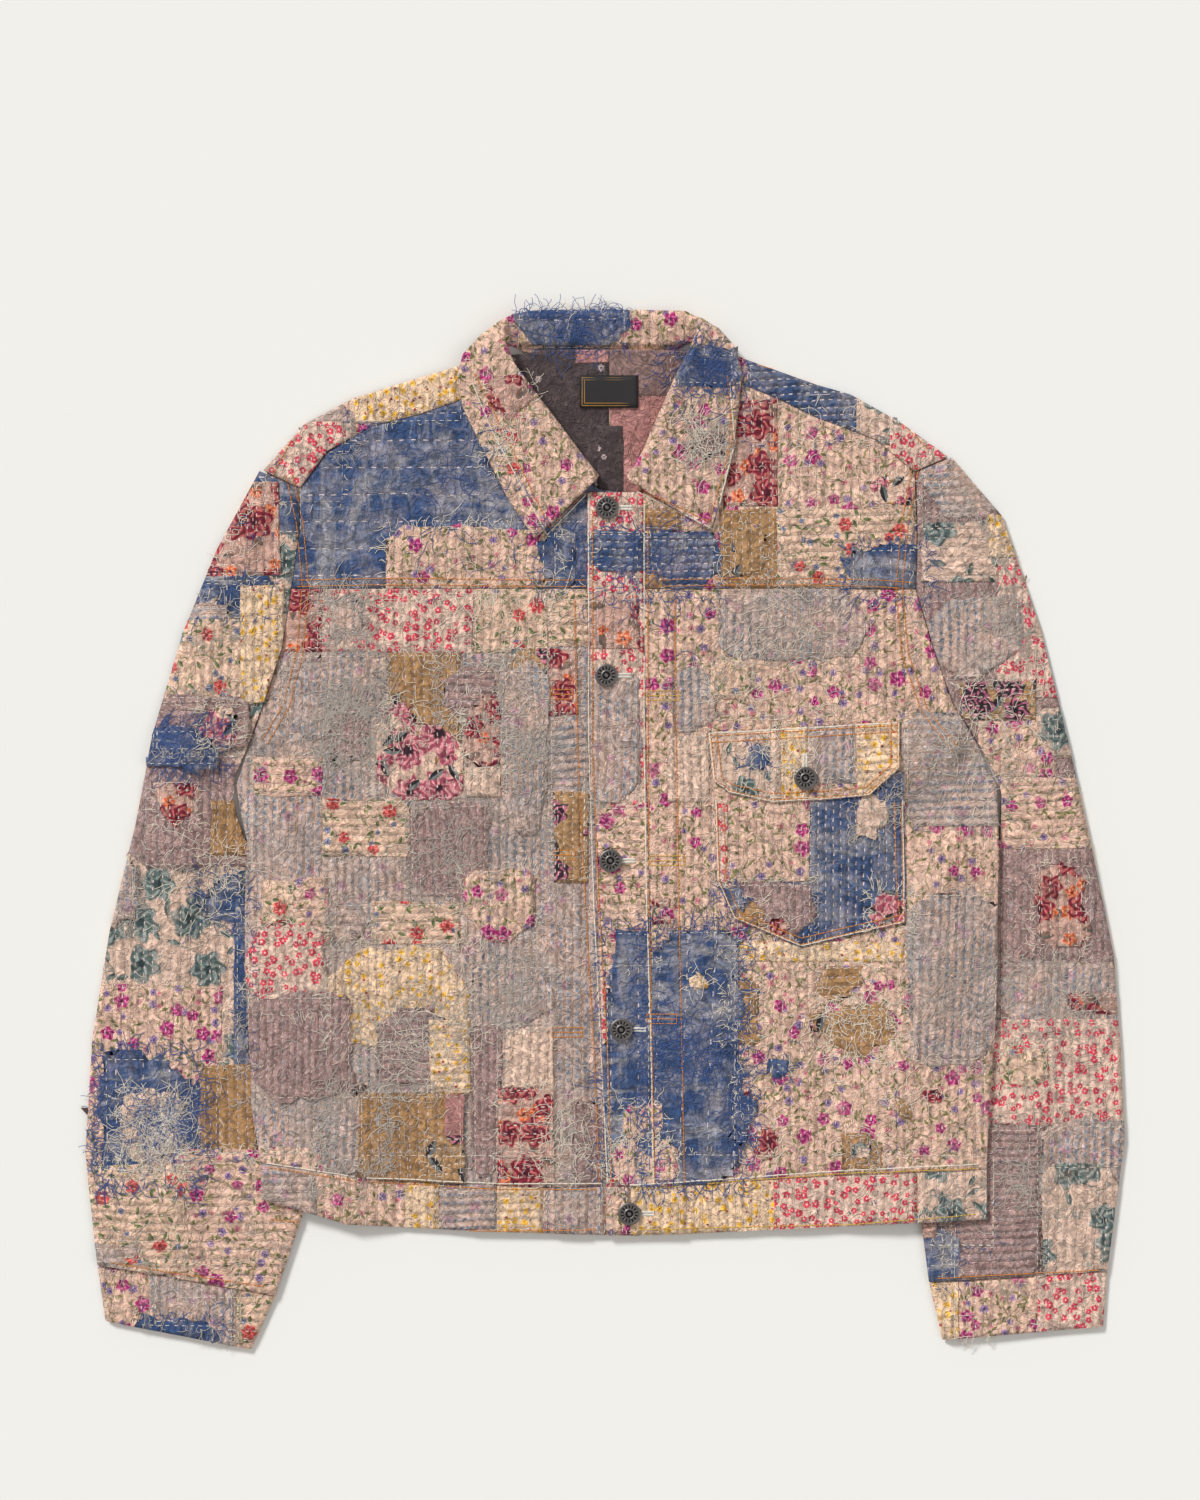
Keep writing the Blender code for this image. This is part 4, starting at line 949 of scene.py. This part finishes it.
def frayed_thread(x, y, nx, ny, length, hangs=False):
    """One loose thread that starts at a cut edge and curls over the cloth beside it."""
    heading = atan2(ny, nx) + rng.gauss(0, 0.75)
    bend = rng.gauss(0, 0.42)
    run = []
    last = None
    steps = 7 if hangs or length > 14 else 4
    for step in range(steps):
        z = height(x, y)
        if z is None and (last is None or not hangs and rng.random() < 0.85):
            return
        last = max(last - 0.8, 0.4) if z is None else z
        run.append((x, y, last + (0.0 if step == 0 else rng.uniform(0.15, 0.7))))
        x += cos(heading) * length / (steps - 1)
        y += sin(heading) * length / (steps - 1)
        heading += bend + rng.gauss(0, 0.3)
    fray_runs[colour].append(run)


for node, rows in PATCHES.items():
    for cloth, x0, x1, y0, y1, rag, *_ in rows:
        if cloth.startswith("lining"):
            continue
        colour = FRAY_OF.get(cloth, "cream")
        hold = STITCH_OF.get(cloth, "cream")
        rag *= THREADBARE.get(cloth, 1.0)
        inset = 2.6 + 0.5 * rag
        box_path = [
            (x + rng.uniform(-1, 1), y + rng.uniform(-1, 1)) for x, y in (
                (x0 + inset, y0 + inset), (x1 - inset, y0 + inset), (x1 - inset, y1 - inset), (x0 + inset, y1 - inset))]
        hold_runs[hold] += stitch_line([*box_path, box_path[0]], *HOLD, rng)
        density = 0.16 + 0.13 * rag + (0.22 if cloth in ("gauze", "mauve") else 0.0)
        for ax, ay, bx, by, nx, ny in (
                (x0, y0, x1, y0, 0, -1), (x0, y1, x1, y1, 0, 1), (x0, y0, x0, y1, -1, 0), (x1, y0, x1, y1, 1, 0)):
            for _ in range(int(hypot(bx - ax, by - ay) * density * 0.55)):
                share = rng.random()
                back = rng.uniform(0.0, 1.0 + 0.9 * rag)
                frayed_thread(
                    ax + (bx - ax) * share - nx * back, ay + (by - ay) * share - ny * back, nx, ny,
                    rng.uniform(2.5, 6.0 + 1.6 * rag) * (1.8 if rng.random() < 0.07 else 1.0))
# Threadbare places: loose threads that wander over the gauze
for x, y, spread, count, colour in (
        (-190, 90, 34, 90, "grey"), (-60, 60, 26, 70, "grey"), (-120, -20, 36, 65, "grey"),
        (-150, -160, 60, 105, "grey"), (-70, -120, 34, 80, "grey"), (140, 148, 46, 70, "grey"),
        (258, 44, 30, 60, "grey"), (258, -110, 36, 80, "grey"), (300, 150, 34, 70, "grey"),
        (340, -130, 36, 60, "grey"), (300, -260, 34, 50, "grey"), (-330, -215, 34, 120, "blue"),
        (-320, 60, 26, 60, "blue"), (66, -170, 40, 120, "blue"), (30, 196, 40, 60, "blue"),
        (-120, 250, 60, 50, "blue"), (-22, 377, 28, 80, "blue"), (74, 340, 30, 60, "blue"),
        (190, -150, 50, 70, "cream"), (-30, -230, 40, 60, "cream"), (-290, -40, 40, 60, "cream"),
        (120, 70, 50, 60, "cream"), (-90, 150, 60, 60, "cream"), (170, 300, 50, 30, "cream"),
        (-335, -225, 24, 80, "cream"), (-76, 284, 12, 20, "cream"), (72, 290, 26, 40, "cream"),
        (-200, -240, 40, 25, "grey"), (130, 140, 46, 40, "cream"), (272, 60, 44, 50, "cream"),
        (-140, -150, 60, 50, "cream"), (330, 120, 34, 30, "cream")):
    for _ in range(2 * count):
        turn = rng.uniform(0, tau)
        frayed_thread(
            x + rng.gauss(0, 0.5) * spread, y + rng.gauss(0, 0.5) * spread, cos(turn), sin(turn),
            rng.choice((6, 9, 12, 18, 26)))

# Edges where the threads hang out over the floor: from, to, outward, how many, thread
for x0, y0, x1, y1, nx, ny, count, colour in (
        (-66, 381, 16, 383, 0, 1, 80, "blue"), (-50, 382, 0, 383, 0, 1, 14, "cream"),
        (50, 352, 100, 330, 0.6, 0.8, 40, "blue"), (-338, 84, -346, 44, -1, 0, 60, "blue"),
        (262, 252, 292, 196, 0.8, 0.6, 50, "grey"), (-372, -190, -376, -250, -1, 0, 40, "blue"),
        (-250, 258, -286, 190, -0.8, 0.6, 20, "cream"), (240, -376, 370, -372, 0, -1, 20, "cream"),
        (-372, -350, -250, -383, 0, -1, 24, "grey"), (320, 80, 356, -20, 1, 0.3, 20, "grey")):
    for _ in range(count):
        share = rng.random()
        frayed_thread(x0 + (x1 - x0) * share, y0 + (y1 - y0) * share, nx, ny, rng.uniform(5, 17), True)

# Thread radii, mm
RADII = {"topstitch": 0.38, "fold": 0.5, "patch": 0.24, "fray": 0.21, "buttonhole": 0.36, "label": 0.3}
FRONTS = ["front_left", "front_right"]
for colour, runs in seam_runs.items():
    thread_piece(colour + "_topstitch", runs, RADII["topstitch"], THREADS[colour], "rose_cotton", FRONTS)
# Cream thread on folds and edges: rubbed-white wear with painted highlight on the fold ridges
thread_piece("worn_white_folds", worn_and_highlight_runs, RADII["fold"], THREADS["cream"], "rose_cotton", FRONTS)
for colour, runs in hold_runs.items():
    if runs:
        thread_piece(colour + "_patch_stitches", runs, RADII["patch"], THREADS[colour], "rose_cotton", FRONTS)
for colour, runs in fray_runs.items():
    thread_piece(colour + "_frayed_threads", runs, RADII["fray"], THREADS[colour], "grey_gauze", FRONTS)


# ---------------------------------------------------------------- buttonholes, buttons, label

HOLE_STITCHES = 34      # along each side of a buttonhole
HOLE_START, HOLE_LENGTH = -2, 20  # mm along it, from the button's middle
hole_runs = []
for node, dx, dy in (
        ("button_neck", 1, 0), ("button_chest", 1, 0), ("button_middle", 1, 0), ("button_low", 1, 0),
        ("button_hem", 1, 0), ("button_flap", 0, 1)):
    low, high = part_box(node)
    bx, by = (low.x + high.x) / 2 / MM, (low.y + high.y) / 2 / MM
    for i in range(HOLE_STITCHES):
        along = HOLE_START + HOLE_LENGTH * i / (HOLE_STITCHES - 1)
        x, y = bx + dx * along, by + dy * along
        for side in (-1, 1):
            near, far = 0.35 * side, 1.7 * side
            ax, ay = x + dy * near, y + dx * near
            cx, cy = x + dy * far, y + dx * far
            z0, z1 = height(ax, ay), height(cx, cy)
            if z0 is not None and z1 is not None:
                crest = ((ax + cx) / 2, (ay + cy) / 2, max(z0, z1) + 0.6)
                hole_runs.append([(ax, ay, z0 - 0.1), crest, (cx, cy, z1 - 0.1)])
thread_piece(
    "buttonhole_stitches", hole_runs, RADII["buttonhole"], THREADS["white"], "rose_cotton", ["placket", "pocket_flap"])


def gunmetal():
    """Gunmetal shank button, die-struck: dark, worn bright on its rim, with a ring and short rays."""
    metal = new_material("die_struck_gunmetal")
    plan = add_node(metal, "UVMap", uv_map="cloth").outputs[0]
    axes = add_node(metal, "SeparateXYZ", plan)
    angle = calc(metal, "ARCTAN2", axes.outputs[1], axes.outputs[0])
    reach = calc_vector(metal, "LENGTH", plan)
    rays = calc(metal, "MULTIPLY", angle, 14.0)
    ray = calc(metal, "COSINE", rays)
    ray_cut = ramp(metal, ray, 0.1, 0.6, 0.0, 1.0)
    inner = ramp(metal, reach.outputs["Value"], 0.0040, 0.0044, 0.0, 1.0)
    outer = ramp(metal, reach.outputs["Value"], 0.0062, 0.0066, 1.0, 0.0)
    band = calc(metal, "MULTIPLY", inner, outer)
    mark = calc(metal, "MULTIPLY", band, ray_cut)
    grime = cloud(metal, plan, 700.0, 4.0, flat=False)
    tone = mix(metal, grime, "#4B4745", "#938D89")
    dark_band = mix(metal, band, tone, "#282523")
    rayed = mix(metal, mark, dark_band, "#7F7A77")
    boss = ramp(metal, reach.outputs["Value"], 0.0011, 0.0015, 0.0, 1.0)
    well = ramp(metal, reach.outputs["Value"], 0.0028, 0.0032, 1.0, 0.0)
    groove = calc(metal, "MULTIPLY", boss, well)
    colour = mix(metal, groove, rayed, "#1D1A19")
    relief = calc(metal, "MULTIPLY_ADD", mark, 0.8, grime)
    return dress(metal, colour, relief, 0.9, 0.0002, 0.42, Metallic=0.75)


# The button's section from its foot out to the rim and in to the crown: radius and height, mm
BUTTON_SECTION = (
    (0.0, 0.0), (3.2, 0.0), (3.6, 0.5), (7.6, 0.9), (8.3, 1.4), (8.5, 2.0), (8.3, 2.7), (7.7, 3.1), (7.1, 3.05),
    (6.7, 2.6), (4.2, 2.5), (3.9, 2.9), (3.3, 3.1), (2.9, 2.8), (2.2, 2.7), (1.6, 3.0), (0.8, 3.2), (0.0, 3.2),
)
button_metal = gunmetal()
for node in sorted(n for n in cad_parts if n.startswith("button_")):
    low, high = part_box(node)
    foot = Vector(((low.x + high.x) / 2, (low.y + high.y) / 2, low.z))
    work = bmesh.new()
    ring = [work.verts.new((r * MM, 0, z * MM)) for r, z in BUTTON_SECTION]
    edges = [work.edges.new(pair) for pair in zip(ring, ring[1:])]
    bmesh.ops.spin(
        work, geom=[*ring, *edges], cent=(0, 0, 0), axis=(0, 0, 1), angle=tau, steps=32, use_merge=True,
        use_normal_flip=False)
    bmesh.ops.remove_doubles(work, verts=work.verts, dist=1e-6)
    bmesh.ops.recalc_face_normals(work, faces=work.faces)
    lay_print(work)
    bmesh.ops.translate(work, verts=work.verts, vec=foot)
    piece = make_piece(work, node.replace("button_", "shank_button_"), [button_metal], "gunmetal", 40)
    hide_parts(node)

label_cloth = plain_finish("black_satin_label", "#1D191A", 0.6, grain=1500.0)
work = fine_cloth("neck_label", LABEL_CELL)
lay_print(work)
label = make_piece(work, "neck_label_cloth", [label_cloth], "label_cloth")
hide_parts("neck_label")
pieces["neck_label"] = label
going_with["neck_label"] = []
low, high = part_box("neck_label")
gold = plain_finish("gold_label_thread", "#B98A3B", 0.55)
border = []
for inset in (1.6, 3.4):
    x0, y0, x1, y1 = low.x / MM + inset, low.y / MM + inset, high.x / MM - inset, high.y / MM - inset
    z = high.z / MM + 0.12
    border.append([(x0, y0, z), (x1, y0, z), (x1, y1, z), (x0, y1, z), (x0, y0, z)])
thread_piece("label_border", border, RADII["label"], gold, "label_cloth", ["neck_label"])

CUTS["neck_label"] = ("lining", 0.043, 0.025, None, "back_yoke")


# ---------------------------------------------------------------- camera and light

LENS, SENSOR = 85, 36  # mm
VIEW_HEIGHT = 1.110  # m from the picture's bottom to its top, measured at VIEW_LEVEL above the floor
VIEW_LEVEL = 0.006
scene = bpy.context.scene
middle = Vector((-3.7, 58.8, 0)) * MM
camera = bpy.data.objects.new("camera", bpy.data.cameras.new("camera"))
camera.data.lens = LENS
camera.data.sensor_width = SENSOR
camera.data.sensor_fit = "VERTICAL"
camera.data.sensor_height = SENSOR
camera.location = middle + Vector((0, 0, VIEW_HEIGHT * LENS / SENSOR + VIEW_LEVEL))
scene.collection.objects.link(camera)
scene.camera = camera

floor_mesh = bmesh.new()
bmesh.ops.create_grid(floor_mesh, x_segments=1, y_segments=1, size=30.0)
bmesh.ops.translate(floor_mesh, verts=floor_mesh.verts, vec=(0, 0, -UNDER_LIFT * MM - 0.0001))
floor_data = bpy.data.meshes.new("floor")
floor_mesh.to_mesh(floor_data)
floor_mesh.free()
floor_paper = new_material("white_paper_floor")
floor_paper.node_tree.nodes["Principled BSDF"].inputs["Base Color"].default_value = linear("#F3F2ED")
floor_paper.node_tree.nodes["Principled BSDF"].inputs["Roughness"].default_value = 0.95
floor_data.materials.append(floor_paper)
ground = bpy.data.objects.new("paper_floor", floor_data)
scene.collection.objects.link(ground)

world = bpy.data.worlds.new("studio")
world.use_nodes = True
world.node_tree.nodes["Background"].inputs["Color"].default_value = linear("#FFFFFF")
world.node_tree.nodes["Background"].inputs["Strength"].default_value = 0.42
scene.world = world
for name, place, spread, power in (
        ("key_light", (-1.7, 2.0, 1.9), 14, 2.53), ("fill_light", (1.8, -0.8, 2.2), 40, 0.35)):
    lamp = bpy.data.lights.new(name, "SUN")
    lamp.angle = radians(spread)
    lamp.energy = power
    light = bpy.data.objects.new(name, lamp)
    light.location = place
    light.rotation_euler = (middle - Vector(place)).to_track_quat("-Z", "Y").to_euler()
    scene.collection.objects.link(light)
scene.view_settings.view_transform = "Standard"
